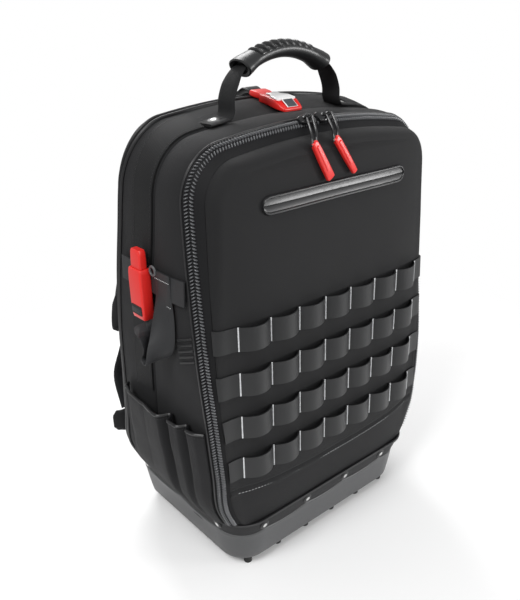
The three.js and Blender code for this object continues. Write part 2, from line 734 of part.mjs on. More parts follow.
const MIDDLE_DEPTH = new THREE.Box3().setFromPoints(HEM_OUTLINE).getCenter(new THREE.Vector3()).y;
const RIVETS = [
  ...[-1.5, -0.5, 0.5, 1.5].map((i) =>
    onBand('x', i * FRONT_RIVET_PITCH + FRONT_RIVET_SHIFT, (p) => p.y < MIDDLE_DEPTH)),
  ...[-1, 0, 1].map((i) => onBand('y', MIDDLE_DEPTH + i * SIDE_RIVET_PITCH, (p) => p.x < 0)),
  ...[0, 1, 2].map((i) => onBand('y', CORNER_RIVET_DEPTH + i * SIDE_RIVET_PITCH, (p) => p.x > 0)),
  ...[-1, 1].map((i) => onBand('x', i * FRONT_RIVET_PITCH, (p) => p.y > MIDDLE_DEPTH)),
];
RIVETS.forEach(({ at, out }, i) => {
  const head = new THREE.CylinderGeometry(RIVET_RADIUS * 0.65, RIVET_RADIUS, RIVET_HEIGHT, 8).translate(0,
    RIVET_HEIGHT / 2, 0);
  const rivet = addPiece(`rim_rivet_${String(i + 1).padStart(2, '0')}`, head, RIVET_STEEL);
  rivet.position.copy(at);
  rivet.quaternion.setFromUnitVectors(point(0, 1, 0), out);
});

/** How far the lid's flat face reaches to each side at a height. */
function faceReach(z) {
  return share('width', upAt(z)) * HALF_WIDTH + zipInside({ up: upAt(z) }).side - LID_ROUND;
}

/** The depth of the lid's face, which is flat between its columns, at a place below its round corners. */
function onFace(x, z) {
  const reach = faceReach(z);
  const column = ((x / reach + 1) / 2) * LID_COLUMNS;
  const left = Math.min(Math.max(Math.floor(column), 0), LID_COLUMNS - 1);
  const at = (i) => faceDepth(((2 * i) / LID_COLUMNS - 1) * reach);
  return lerp(at(left), at(left + 1), column - left) + setback(upAt(z));
}

/** A point off the lid's round edge at a height: angle 0 is at the zip and 90 at the edge of the face. */
function onLidEdge(side, angle, z, out) {
  const edge = zipInside({ up: upAt(z) });
  const [sine, cosine] = [Math.sin(degToRad(angle)), Math.cos(degToRad(angle))];
  const near = edge.depth - GAP;
  const far = faceDepth(faceReach(z)) + setback(upAt(z));
  const normal = new THREE.Vector2((near - far) * cosine, -LID_ROUND * sine).setLength(out);
  const x = faceReach(z) + LID_ROUND * cosine + normal.x;
  return point(side * x, lerp(near, far, sine) + normal.y, z);
}

/** One row of webbing, tacked down at even steps so that it stands off the lid in loops. */
function webbingRow(middle) {
  const edge = (side, angle) => (z, out) => onLidEdge(side, angle, z, out);
  const face = (x, lift) => (z, out) => point(x, onFace(x, z) - out - lift, z);
  const stops = [];
  for (let i = 0; i < TACKS; i += 1) {
    const x = (i - (TACKS - 1) / 2) * TACK_PITCH;
    stops.push(face(x, 0));
    if (i === TACKS - 1) break;
    [0.14, 0.32, 0.5, 0.68, 0.86].forEach((part) => {
      stops.push(face(x + part * TACK_PITCH, LOOP_BULGE * Math.sin(Math.PI * part) ** 0.8));
    });
  }
  stops.unshift(...LID_STEPS.slice(0, -1).map((angle) => edge(-1, Math.max(angle, 6))));
  stops.push(...LID_STEPS.slice(0, -1).reverse().map((angle) => edge(1, Math.max(angle, 6))));
  const [foot, head] = [middle - WEBBING / 2, middle + WEBBING / 2];
  const [near, far] = [WEBBING_SEAT, WEBBING_SEAT + WEBBING_THICKNESS];
  return loft(stops.map((stop) => [stop(foot, near), stop(head, near), stop(head, far), stop(foot, far)]));
}

for (let i = 0; i < ROW_COUNT; i += 1) {
  addPiece(`webbing_row_${i + 1}`, webbingRow(TOP_ROW_HEIGHT - i * ROW_PITCH), BLACK_WEBBING);
}

/** The pocket zip on the lid: a long closed slot between two raised welts. */
function pocketZipGeometry() {
  const half = POCKET_ZIP_LENGTH / 2;
  const round = POCKET_ZIP_WIDTH / 2;
  const places = [-1, -0.97, -0.91, -0.7, -0.47, -0.24, 0, 0.24, 0.47, 0.7, 0.91, 0.97, 1];
  return loft(places.map((place) => {
    const x = place * half;
    const into = Math.min(half - Math.abs(x), round) / round;
    const height = lerp(WELT * 1.6, round, Math.sqrt(into * (2 - into)));
    const profile = [[-1, 0, 0], [-1, 0.3, 1], [-1, WELT, 1], [-1, WELT + 1, 0.45], [1, WELT + 1, 0.45],
      [1, WELT, 1], [1, 0.3, 1], [1, 0, 0]];
    return profile.map(([side, inset, rise]) => point(
      x,
      faceDepth(x) - GAP - rise * WELT_RISE,
      POCKET_ZIP_HEIGHT + side * (height - inset),
    ));
  }));
}

addPiece('front_pocket_zip', pocketZipGeometry(), BLACK_PLASTIC);

/** The handle's moulded grip: a ribbed arch that swells at its two ends. */
function gripGeometry() {
  const half = HANDLE_SPAN / 2;
  const ribs = [];
  for (let i = 0; i < GRIP_RIBS; i += 1) {
    const centre = (i - (GRIP_RIBS - 1) / 2) * (RIBBED_LENGTH / GRIP_RIBS);
    const quarter = RIBBED_LENGTH / GRIP_RIBS / 4;
    ribs.push({ x: centre - quarter * 1.2, cut: 1 }, { x: centre - quarter * 0.6, cut: 0 },
      { x: centre + quarter * 0.6, cut: 0 });
  }
  const ends = [{ x: half, cut: 0, swell: 0.16 }, { x: half * 0.86, cut: 0, swell: 0.1 },
    { x: half * 0.72, cut: 0 }];
  const stops = [...ends.map((end) => ({ ...end, x: -end.x })), ...ribs, { x: RIBBED_LENGTH / 2, cut: 1 },
    ...ends.reverse()];
  const sides = 10;
  return loft(stops.map(({ x, cut, swell = 0 }) => {
    const slope = Math.atan((-2 * HANDLE_SAG * x) / half ** 2);
    const z = HANDLE_CROWN_HEIGHT - HANDLE_SAG * (x / half) ** 2;
    return Array.from({ length: sides }, (_, i) => {
      const angle = ((i + 0.5) / sides) * Math.PI * 2;
      const [across, up] = [Math.cos(angle), Math.sin(angle)];
      const reach = (1 + swell) * GRIP_HEIGHT / 2 - (up > 0 ? cut * RIB_CUT : 0);
      return point(
        x - Math.sin(slope) * up * reach,
        HANDLE_DEPTH + (across * GRIP_WIDTH * (1 + swell)) / 2,
        z + Math.cos(slope) * up * reach,
      );
    });
  }));
}

addPiece('handle_grip', gripGeometry(), BLACK_PLASTIC);

/** A point on the bag's crowned top, lifted off it by out. */
function onTop(x, depth, out = 0) {
  return onBag(topStation(x), depth, out);
}

/** A handle leg: webbing from the grip's end down to the top, turned out there into a riveted tab. */
function legGeometry(side) {
  const half = HANDLE_SPAN / 2;
  const gripEnd = HANDLE_CROWN_HEIGHT - HANDLE_SAG;
  const slope = Math.atan((2 * HANDLE_SAG) / half);
  const foot = onTop(side * LEG_SPREAD, HANDLE_DEPTH).z;
  const drop = gripEnd - foot;
  const leaving = (distance) => ({
    x: half + Math.cos(slope) * distance - (Math.sin(slope) * LEG_THICKNESS) / 2,
    z: gripEnd - Math.sin(slope) * distance - (Math.cos(slope) * LEG_THICKNESS) / 2,
  });
  const path = [
    leaving(GAP),
    leaving((LEG_SPREAD - half) * 0.4),
    { x: lerp(half, LEG_SPREAD, 0.78), z: gripEnd - drop * 0.24 },
    { x: LEG_SPREAD - 1, z: gripEnd - drop * 0.42 },
    { x: LEG_SPREAD, z: gripEnd - drop * 0.62 },
    { x: LEG_SPREAD, z: foot + drop * 0.16 },
  ].map(({ x, z }) => [-1, 1].map((edge) => point(side * x, HANDLE_DEPTH + (edge * LEG_WIDTH) / 2, z)));
  const tab = [LEG_SPREAD + 3, LEG_SPREAD + 9, TAB_END]
    .map((x) => [-1, 1].map((edge) => onTop(side * x, HANDLE_DEPTH + (edge * LEG_WIDTH) / 2, GAP)));
  tab[0].forEach((p) => p.setZ(p.z + LEG_THICKNESS * 0.6));
  const edges = [...path, ...tab];
  return loft(edges.map(([front, rear], i) => {
    const before = edges[Math.max(i - 1, 0)][0];
    const after = edges[Math.min(i + 1, edges.length - 1)][0];
    const along = after.clone().sub(before).normalize();
    const out = point(-along.z * side, 0, along.x * side).multiplyScalar(LEG_THICKNESS);
    return [front, rear, rear.clone().add(out), front.clone().add(out)];
  }));
}

/** A low round rivet head standing on a place, along a direction. */
function placeRivet(name, radius, height, at, out) {
  const head = new THREE.CylinderGeometry(radius * 0.6, radius, height, 10).translate(0, height / 2, 0);
  const rivet = addPiece(name, head, RIVET_STEEL);
  rivet.position.copy(at);
  rivet.quaternion.setFromUnitVectors(point(0, 1, 0), out);
}

for (const [label, side] of [['left', -1], ['right', 1]]) {
  addPiece(`handle_leg_${label}`, legGeometry(side), BLACK_WEBBING);
  const seat = GAP * 2 + LEG_THICKNESS;
  const at = onTop(side * HANDLE_RIVET_SPREAD, HANDLE_DEPTH, seat);
  const behind = onTop(side * HANDLE_RIVET_SPREAD, HANDLE_DEPTH + LEG_WIDTH / 2, seat);
  const before = onTop(side * HANDLE_RIVET_SPREAD, HANDLE_DEPTH - LEG_WIDTH / 2, seat);
  const aside = onTop(side * (HANDLE_RIVET_SPREAD + 4), HANDLE_DEPTH, seat);
  const middle = behind.clone().add(before).multiplyScalar(0.5);
  const out = aside.sub(at).cross(behind.sub(before)).multiplyScalar(side).normalize();
  placeRivet(`handle_rivet_${label}`, HANDLE_RIVET_RADIUS, 2.4, middle.addScaledVector(out, 0.2), out);
}

// The sliders ride on the coil at the crown of the zip. Their frame is that of the zip's band there.
const SLIDER_STATION = topStation(0);
const bandTilt = Math.atan2(
  zipOutside(SLIDER_STATION).rise - zipInside(SLIDER_STATION).rise,
  zipOutside(SLIDER_STATION).depth - zipInside(SLIDER_STATION).depth,
);
const SLIDER_RISE = COIL_HEIGHT + 2 * GAP;
const BRIDGE_RISE = SLIDER_HEIGHT + BRIDGE_RADIUS - BRIDGE_SINK;

/** The middle of the coil at a place across the bag. */
function coilAt(x) {
  const s = topStation(x);
  return beside(s, zipCentre(s));
}

/** A slider: a plate over the coil with a bridge on it that the pull hangs from. */
function sliderGeometry() {
  const plate = roundedPlate(SLIDER_LENGTH, SLIDER_WIDTH, SLIDER_HEIGHT, 4, 0.8);
  const bridge = new THREE.CylinderGeometry(BRIDGE_RADIUS, BRIDGE_RADIUS, BRIDGE_LENGTH, 8);
  bridge.rotateZ(Math.PI / 2).translate(0, 0, BRIDGE_RISE);
  return geometryOf(solidOf(plate).add(solidOf(bridge)));
}

// Where each pull hangs, as distances across the bag: the slider's bridge, the top of its red grip and
// the grip's foot.
const PULLS = {
  left: { hinge: -17, top: -38, foot: -15 },
  right: { hinge: 10, top: -9, foot: 19 },
};

for (const [label, place] of Object.entries(SLIDER_PLACES)) {
  const slider = addPiece(`slider_${label}`, sliderGeometry(), BLACK_PLASTIC);
  slider.position.copy(coilAt(place));
  slider.rotation.x = bandTilt;
  slider.translateZ(SLIDER_RISE);
  const pull = PULLS[label];
  const lift = point(0, -Math.sin(bandTilt), Math.cos(bandTilt));
  const hinge = coilAt(pull.hinge).addScaledVector(lift, SLIDER_RISE + BRIDGE_RISE);
  const clear = BRIDGE_RADIUS + GAP + PULL_PLATE;
  hinge.addScaledVector(point(0, Math.cos(bandTilt), Math.sin(bandTilt)), -clear);
  const hang = PULL_GRIP_THICKNESS / 2 + PULL_SEAT;
  const rimZ = topStation(pull.top).z - ZIP_TAPE_INSIDE;
  const gripTop = point(pull.top, -hang, rimZ - PULL_SEAT);
  const across = point(1, 0, 0);
  const plate = [hinge, hinge.clone().lerp(gripTop, 0.8).add(point(0, -1, 1.5)),
    gripTop.clone().add(point(0, 0, 5 * GAP))];
  addPiece(`puller_${label}`, ribbon(plate.map((at) => ({ at, across })), PULL_WIDTH, PULL_PLATE, -1),
    BLACK_PLASTIC);
  const foot = point(pull.foot, -hang, gripTop.z - PULL_GRIP_LENGTH);
  const grip = loft([[0, 0.7], [0.12, 1], [0.55, 1], [0.9, 0.9], [1, 0.55]].map(([part, size]) => {
    const at = gripTop.clone().lerp(foot, part);
    const [wide, thick] = [(PULL_GRIP_WIDTH / 2) * size, (PULL_GRIP_THICKNESS / 4) * (1 + size)];
    return Array.from({ length: 8 }, (_, k) => {
      const angle = ((k + 0.5) / 8) * Math.PI * 2;
      return point(at.x + Math.cos(angle) * wide, at.y + Math.sin(angle) * thick, at.z);
    });
  }));
  addPiece(`pull_grip_${label}`, grip, RED_PLASTIC);
}

/** The webbing that runs from the handle's tab over the shoulder and down the bag's side. */
function shoulderStrip(side) {
  const sides = ARCH.filter((s) =>
    Math.sign(s.x) === side && s.z > STRIP_END_HEIGHT + 8 && Math.abs(s.x) > TAB_END + 6);
  sides.sort((a, b) => a.up - b.up || Math.abs(b.x) - Math.abs(a.x));
  const stations = [sideStation(side, STRIP_END_HEIGHT), ...sides, topStation(side * (TAB_END + 1))];
  return loft(stations.map((s) => {
    const front = depthOf('seam', s.up) + 2;
    return [
      onBag(s, front, GAP),
      onBag(s, front + STRIP_WIDTH, GAP),
      onBag(s, front + STRIP_WIDTH, GAP + STRIP_THICKNESS),
      onBag(s, front, GAP + STRIP_THICKNESS),
    ];
  }));
}

const SIDE_STRAP_LIFT = 2 * GAP + STRIP_THICKNESS;

/** A point on the bag's side at a depth and height, lifted off it by out. */
function onSide(side, depth, z, out = 0) {
  return onBag(sideStation(side, z), depth, out);
}

/** The side strap: level webbing across the bag's side, over the shoulder webbing. */
function sideStrap(side) {
  const start = bodyLines(sideStation(side, SIDE_STRAP_HEIGHT))[0].depth + 3;
  const depths = [0, 0.12, 0.35, 0.6, 0.8, 1].map((part) => lerp(start, SIDE_STRAP_END, part));
  return loft(depths.map((depth, i) => {
    const lift = i === 0 ? GAP : SIDE_STRAP_LIFT;
    return [[-1, lift], [1, lift], [1, lift + WEBBING_THICKNESS], [-1, lift + WEBBING_THICKNESS]]
      .map(([edge, out]) => onSide(side, depth, SIDE_STRAP_HEIGHT + (edge * WEBBING) / 2, out));
  }));
}

/** A side pocket: a panel gathered in folds that stands off the bag's side at its mouth. */
function sidePocket(side) {
  const foot = BAND_TOP_Z + GAP;
  const rows = SECTIONS.map((row) => HEM_Z + row.up * BAG_HEIGHT).filter((z) =>
    z > foot + 5 && z < POCKET_MOUTH - 5);
  const heights = [foot, ...rows, (rows[rows.length - 1] + POCKET_MOUTH) / 2, POCKET_MOUTH];
  return loft(heights.map((z) => {
    const level = (z - foot) / (POCKET_MOUTH - foot);
    const start = bodyLines(sideStation(side, z))[0].depth + 4;
    const fullness = 0.12 + 0.88 * Math.sin((level * Math.PI) / 2);
    const row = POCKET_FOLDS.map(({ along, out }) => ({
      depth: lerp(POCKET_REAR + (1 - level) * 8, start, along),
      out: POCKET_SEAT + out * fullness * POCKET_BULGE,
    }));
    return [
      ...row.map(({ depth, out }) => onSide(side, depth, z, out + POCKET_CLOTH)),
      ...[...row].reverse().map(({ depth, out }) => onSide(side, depth, z, out)),
    ];
  }));
}

for (const [label, side] of [['left', -1], ['right', 1]]) {
  addPiece(`shoulder_webbing_${label}`, shoulderStrip(side), BLACK_WEBBING);
  addPiece(`side_strap_${label}`, sideStrap(side), BLACK_WEBBING);
  addPiece(`side_pocket_${label}`, sidePocket(side), BLACK_NYLON);
}

const BUCKLE_BACK = -onSide(-1, SIDE_BUCKLE_DEPTH, SIDE_STRAP_HEIGHT - WEBBING / 2,
  SIDE_STRAP_LIFT + WEBBING_THICKNESS + GAP).x;

/** The side buckle's red body, with the slot for its webbing near the foot. */
function sideBuckleGeometry() {
  const { width, height, thickness } = SIDE_BUCKLE;
  const body = roundedPlate(width, height, thickness, 2.5, 1.2);
  const slot = new THREE.BoxGeometry(width * 0.74, height * 0.2, thickness * 0.3);
  slot.translate(0, -height * 0.33, thickness);
  return geometryOf(solidOf(body).subtract(solidOf(slot)));
}

const buckle = addPiece('side_buckle', sideBuckleGeometry(), RED_PLASTIC);
buckle.position.set(-BUCKLE_BACK, SIDE_BUCKLE_DEPTH, SIDE_BUCKLE_HEIGHT);
buckle.rotation.set(Math.PI / 2, -Math.PI / 2, 0);

const tongueShape = roundedPlate(SIDE_TONGUE.width, SIDE_TONGUE.height, SIDE_TONGUE.thickness, 3, 1);
const tongue = addPiece('side_buckle_tongue', tongueShape, RED_PLASTIC);
tongue.position.set(
  -BUCKLE_BACK - (SIDE_BUCKLE.thickness - SIDE_TONGUE.thickness) / 3,
  SIDE_BUCKLE_DEPTH,
  SIDE_BUCKLE_HEIGHT + (SIDE_BUCKLE.height + SIDE_TONGUE.height) / 2 + GAP,
);
tongue.rotation.set(Math.PI / 2, -Math.PI / 2, 0);

// The buckle's slack webbing hangs from a fold over the side strap, turns out below it into an open loop
// and comes back up to the buckle's foot. Each stop is its distance forward of the buckle, out from the
// side and up from the buckle's foot, in shares of the webbing, with its turn out of the side.
const SLACK = [
  { forward: 1.36, out: 0.02, up: 2.2, turn: 0 },
  { forward: 1.36, out: 0.03, up: 1.3, turn: 0 },
  { forward: 1.4, out: 0.12, up: 0.6, turn: 15 },
  { forward: 1.46, out: 0.26, up: 0, turn: 30 },
  { forward: 1.5, out: 0.42, up: -0.6, turn: 50 },
  { forward: 1.42, out: 0.58, up: -1.05, turn: 75 },
  { forward: 1.25, out: 0.64, up: -1.3, turn: 95 },
  { forward: 1.02, out: 0.62, up: -1.25, turn: 115 },
  { forward: 0.86, out: 0.56, up: -0.95, turn: 125 },
  { forward: 0.72, out: 0.5, up: -0.55, turn: 110 },
  { forward: 0.5, out: 0.43, up: -0.27, turn: 70 },
  { forward: 0.3, out: 0.37, up: -0.07, turn: 30 },
];

/** The slack webbing of the side buckle. */
function slackGeometry() {
  const foot = SIDE_BUCKLE_HEIGHT - SIDE_BUCKLE.height / 2;
  const path = SLACK.map(({ forward, out, up, turn }) => ({
    at: point(
      -BUCKLE_BACK - GAP - out * WEBBING,
      SIDE_BUCKLE_DEPTH - forward * WEBBING,
      foot + up * WEBBING,
    ),
    across: point(-Math.sin(degToRad(turn)), Math.cos(degToRad(turn)), 0),
  }));
  return ribbon(path, WEBBING, WEBBING_THICKNESS, 1);
}

addPiece('side_slack_webbing', slackGeometry(), BLACK_WEBBING);

// The buckle on the bag's top lies along its depth, on the slope of the cloth.
const topSlope = onTop(0, TOP_BUCKLE_FRONT + TOP_BUCKLE.length, 0).sub(onTop(0, TOP_BUCKLE_FRONT, 0));
const topTilt = Math.atan2(topSlope.z, topSlope.y);
const TOP_BUCKLE_SEAT = TOP_STRAP_THICKNESS + 2 * GAP;
const topBuckle = new THREE.Group();
topBuckle.position.copy(onTop(0, TOP_BUCKLE_FRONT, TOP_BUCKLE_SEAT));
topBuckle.rotation.x = topTilt;
backpack.add(topBuckle);

/** A wedge-fronted block along +Y from the origin, its foot at z 0. */
function wedgeBlock({ width, length, height }, nose, chamfer) {
  const profile = [
    [0, 0], [length, 0], [length, height - chamfer], [length - chamfer, height], [nose, height],
      [0, height * 0.35],
  ];
  const ring = (x, shrink) => profile.map(([y, z]) => point(
    x,
    lerp(y, length / 2, shrink),
    lerp(z, height / 2, shrink * 0.5),
  ));
  return loft([ring(-width / 2, 0.05), ring(-width / 2 + chamfer, 0), ring(width / 2 - chamfer, 0),
    ring(width / 2, 0.05)]);
}

addPiece('top_buckle', wedgeBlock(TOP_BUCKLE, NOSE, 1.5), RED_PLASTIC, topBuckle);
const plateLength = TOP_BUCKLE.length - NOSE - 4;
const topPlate = roundedPlate(TOP_BUCKLE.width * 0.84, plateLength, 1.6, 2, 0.5);
addPiece('top_buckle_plate', topPlate.translate(0, NOSE + 1.5 + plateLength / 2, TOP_BUCKLE.height + GAP),
  PALE_PLASTIC, topBuckle);
const insert = addPiece('top_buckle_insert', wedgeBlock(TOP_INSERT, 4, 1.2), RED_PLASTIC, topBuckle);
insert.position.set(0, TOP_BUCKLE.length + GAP, 1.5);

/** The webbing through the top buckle's nose, folded back under the buckle onto the bag's top. */
function topFrontStrap() {
  const rise = TOP_BUCKLE.height * 0.35;
  const path = [
    [TOP_BUCKLE.length * 0.8, -GAP],
    [TOP_BUCKLE.length * 0.3, -GAP],
    [-GAP, -GAP],
    [-GAP, rise + GAP],
    [NOSE * 0.45, lerp(rise, TOP_BUCKLE.height, 0.45) + 2 * GAP],
    [NOSE - 0.5, TOP_BUCKLE.height + 2 * GAP],
  ];
  return ribbon(path.map(([y, z]) => ({ at: point(0, y, z), across: point(1, 0, 0) })),
    TOP_STRAP_WIDTH * 0.85, TOP_STRAP_THICKNESS, 1);
}

addPiece('top_strap_front', topFrontStrap(), BLACK_WEBBING, topBuckle);

/** The webbing from the top buckle's rear half back to the bag's rear edge. */
function topRearStrap() {
  const local = (y, z) => point(0, y, z).applyEuler(topBuckle.rotation).add(topBuckle.position);
  const from = TOP_BUCKLE.length + TOP_INSERT.length + 4 * GAP;
  const rear = topStation(0);
  const edge = beside(rear, backEdge(rear), GAP);
  const path = [local(from, 5), local(from + 6, 7), local(from + 11, 6.5),
    edge.clone().add(point(0, -1, 3)), edge.clone().add(point(0, 3, 0.6))];
  return ribbon(path.map((at) => ({ at, across: point(1, 0, 0) })), TOP_STRAP_WIDTH, WEBBING_THICKNESS, 1);
}

/** The edge of the back panel's rear face at a station. */
function backEdge(s) {
  const seam = gussetRear(s);
  return { side: seam.side - BACK_ROUND, rise: seam.rise - BACK_TOP_ROUND * 0.4,
    depth: depthOf('back', s.up) };
}

addPiece('top_strap_rear', topRearStrap(), BLACK_WEBBING);

/** A padded shoulder strap, from the top of the back panel down to its adjuster. */
function strapStops(side) {
  return STRAP_PATH.map(({ up, aside, stand }) => {
    const z = HEM_Z + up * BAG_HEIGHT;
    const depth = backFace(z) + STRAP_SEAT + stand * STRAP_STANDOFF;
    return { at: point(side * aside * HALF_WIDTH, depth, z), across: point(1, 0, 0) };
  });
}

/** The plain webbing from a shoulder strap's adjuster down to the wing at the bag's foot. */
function lowerStops(side) {
  const start = strapStops(side)[STRAP_PATH.length - 1].at;
  const end = point(side * HALF_WIDTH * 0.83, depthOf('back', 0.17) + LOWER_STRAP_STANDOFF,
    HEM_Z + BAG_HEIGHT * 0.2);
  const from = start.clone().add(point(0, STRAP_THICKNESS / 2, -ADJUSTER.height - 4));
  const middle = from.clone().lerp(end, 0.5).add(point(0, 6, 0));
  return [from, from.clone().lerp(middle, 0.5).add(point(0, 2, 0)), middle,
    middle.clone().lerp(end, 0.5).add(point(0, 1.5, 0)), end]
    .map((at) => ({ at, across: point(1, 0, 0) }));
}

/** The wing at the bag's foot: a padded tab from the back panel that curls out past its side. */
function wingGeometry(side) {
  const z = HEM_Z + BAG_HEIGHT * 0.2 - GAP - WING_HEIGHT / 2;
  const back = backFace(z - WING_HEIGHT / 2) + GAP;
  const reach = WING_REACH / HALF_WIDTH;
  const path = [[0.5, 0], [0.68, 0.5], [0.8, 3], [0.9, 8], [0.97, 14], [reach, 21]].map(([aside, out]) => ({
    at: point(side * aside * HALF_WIDTH, back + out, z),
    across: point(0, 0, 1),
  }));
  return ribbon(path, WING_HEIGHT, WING_THICKNESS, side);
}


for (const [label, side] of [['left', -1], ['right', 1]]) {
  addPiece(`shoulder_strap_${label}`, ribbon(strapStops(side), STRAP_WIDTH, STRAP_THICKNESS, 1),
    BLACK_NYLON);
  const end = strapStops(side)[STRAP_PATH.length - 1].at;
  const adjuster = addPiece(
    `strap_adjuster_${label}`,
    roundedPlate(ADJUSTER.width, ADJUSTER.height, ADJUSTER.thickness, 3, 1),
    BLACK_PLASTIC,
  );
  adjuster.position.set(end.x, end.y + (STRAP_THICKNESS + ADJUSTER.thickness) / 2,
    end.z - ADJUSTER.height / 2 - GAP);
  adjuster.rotation.x = Math.PI / 2;
  addPiece(`lower_strap_${label}`, ribbon(lowerStops(side), WEBBING, WEBBING_THICKNESS, 1), BLACK_WEBBING);
  addPiece(`foot_wing_${label}`, wingGeometry(side), BLACK_NYLON);
}

// The origin is on the ground in the middle of the box round the whole object.
const bounds = new THREE.Box3().setFromObject(backpack);
const middle = bounds.getCenter(new THREE.Vector3());
backpack.position.set(-middle.x, -middle.y, -bounds.min.z);

export default backpack;
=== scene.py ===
"""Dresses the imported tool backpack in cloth, webbing, zips, buckles and moulded parts."""

import logging
import math
from dataclasses import dataclass
from enum import Enum
from typing import Any, Callable, Iterable, Optional, Sequence, Union

import bmesh
import bpy
import numpy as np
from mathutils import Matrix, Vector


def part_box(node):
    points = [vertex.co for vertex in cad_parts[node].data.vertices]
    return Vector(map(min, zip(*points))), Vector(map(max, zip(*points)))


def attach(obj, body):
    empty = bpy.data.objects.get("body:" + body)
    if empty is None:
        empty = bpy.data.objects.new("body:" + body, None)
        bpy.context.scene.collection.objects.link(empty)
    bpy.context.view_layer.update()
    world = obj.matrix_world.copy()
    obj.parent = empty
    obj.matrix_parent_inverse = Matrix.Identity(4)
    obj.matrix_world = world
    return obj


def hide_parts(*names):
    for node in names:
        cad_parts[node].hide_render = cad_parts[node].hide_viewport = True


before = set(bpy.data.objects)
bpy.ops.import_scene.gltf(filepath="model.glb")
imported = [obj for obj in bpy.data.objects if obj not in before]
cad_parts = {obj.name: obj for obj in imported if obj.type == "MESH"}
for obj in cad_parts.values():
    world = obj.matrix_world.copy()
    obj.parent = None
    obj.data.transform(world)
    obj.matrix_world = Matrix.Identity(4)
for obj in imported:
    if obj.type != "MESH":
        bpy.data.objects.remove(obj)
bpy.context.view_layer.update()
log = logging.getLogger("backpack")
logging.basicConfig(level=logging.INFO, format="%(name)s: %(message)s")

BAG = "bag"
LEFT, RIGHT = -1, 1
SIDES = {"left": LEFT, "right": RIGHT}
Points = np.ndarray

# Sizes in millimetres that several pieces share
BAND_FOOT, BAND_TOP = 53.0, 73.0
CLOTH = 2.6
WEBBING = 25.4
LID_TAPE, LID_ROUND, BAG_TAPE = 8.5, 12.0, 6.3
GUSSET_INSET, GUSSET_RISE = 4.0, 17.0
SEAM_STITCH = (2.2, 0.6, 0.5)
SEAM_PITCH = 3.2


# The shape of the bag
class Lines:
    """How the bag's lines run up its side, in millimetres above the ground and behind its front plane."""

    HALF_WIDTH, DEPTH, HEM, HEIGHT = 168.0, 225.0, 45.0, 443.0
    COLUMNS = ("half", "inset", "zip", "seam", "gusset", "piping", "back", "setback")
    SHARES = (
        (0.0, 0.83, 0.071, 0.116, 0.52, 0.844, 0.902, 0.96, 0.036),
        (0.018, 0.83, 0.071, 0.116, 0.52, 0.844, 0.902, 0.96, 0.036),
        (0.063, 0.878, 0.045, 0.062, 0.52, 0.853, 0.909, 0.964, 0.01),
        (0.126, 0.952, 0.044, 0.047, 0.52, 0.844, 0.902, 0.96, 0.0),
        (0.235, 0.972, 0.034, 0.036, 0.511, 0.816, 0.867, 0.922, 0.0),
        (0.361, 0.98, 0.021, 0.042, 0.493, 0.787, 0.831, 0.884, 0.0),
        (0.508, 0.987, 0.018, 0.069, 0.462, 0.756, 0.8, 0.853, 0.0),
        (0.646, 0.985, 0.021, 0.098, 0.427, 0.711, 0.76, 0.816, 0.0),
        (0.783, 0.97, 0.021, 0.129, 0.387, 0.662, 0.713, 0.776, 0.0),
        (0.869, 0.963, 0.024, 0.142, 0.364, 0.627, 0.68, 0.745, 0.0),
        (1.0, 0.952, 0.024, 0.138, 0.342, 0.533, 0.588, 0.67, 0.0),
    )

    @classmethod
    def at(cls, column: str, z: Union[float, Points]) -> Points:
        """Returns one column at heights, by a smooth curve through the rows."""
        rows = np.array(cls.SHARES)
        scale = cls.HALF_WIDTH if column in ("half", "inset") else cls.DEPTH
        heights = cls.HEM + cls.HEIGHT * rows[:, 0]
        values = scale * rows[:, 1 + cls.COLUMNS.index(column)]
        slopes = np.gradient(values, heights)
        z = np.clip(np.asarray(z, float), heights[0], heights[-1])
        i = np.clip(np.searchsorted(heights, z) - 1, 0, len(heights) - 2)
        span = heights[i + 1] - heights[i]
        t = (z - heights[i]) / span
        rise = t * t * (3 - 2 * t)
        bend = span * t * (1 - t) * ((1 - t) * slopes[i] - t * slopes[i + 1])
        return values[i] + rise * (values[i + 1] - values[i]) + bend


@dataclass(frozen=True)
class Stations:
    """Places along the bag's arched outline, with the direction out of it at each."""

    x: Points
    z: Points
    nx: Points
    nz: Points

    def __len__(self) -> int:
        """The number of stations."""
        return len(self.x)

    def cut(self, keep: Points) -> "Stations":
        """Returns the stations that a mask keeps."""
        return Stations(self.x[keep], self.z[keep], self.nx[keep], self.nz[keep])

    def column(self, name: str) -> Points:
        """Returns one of the bag's lines at each station."""
        return Lines.at(name, self.z)

    @property
    def out(self) -> Points:
        """The direction out of the outline at each station."""
        return np.stack([self.nx, np.zeros(len(self)), self.nz], axis=1)


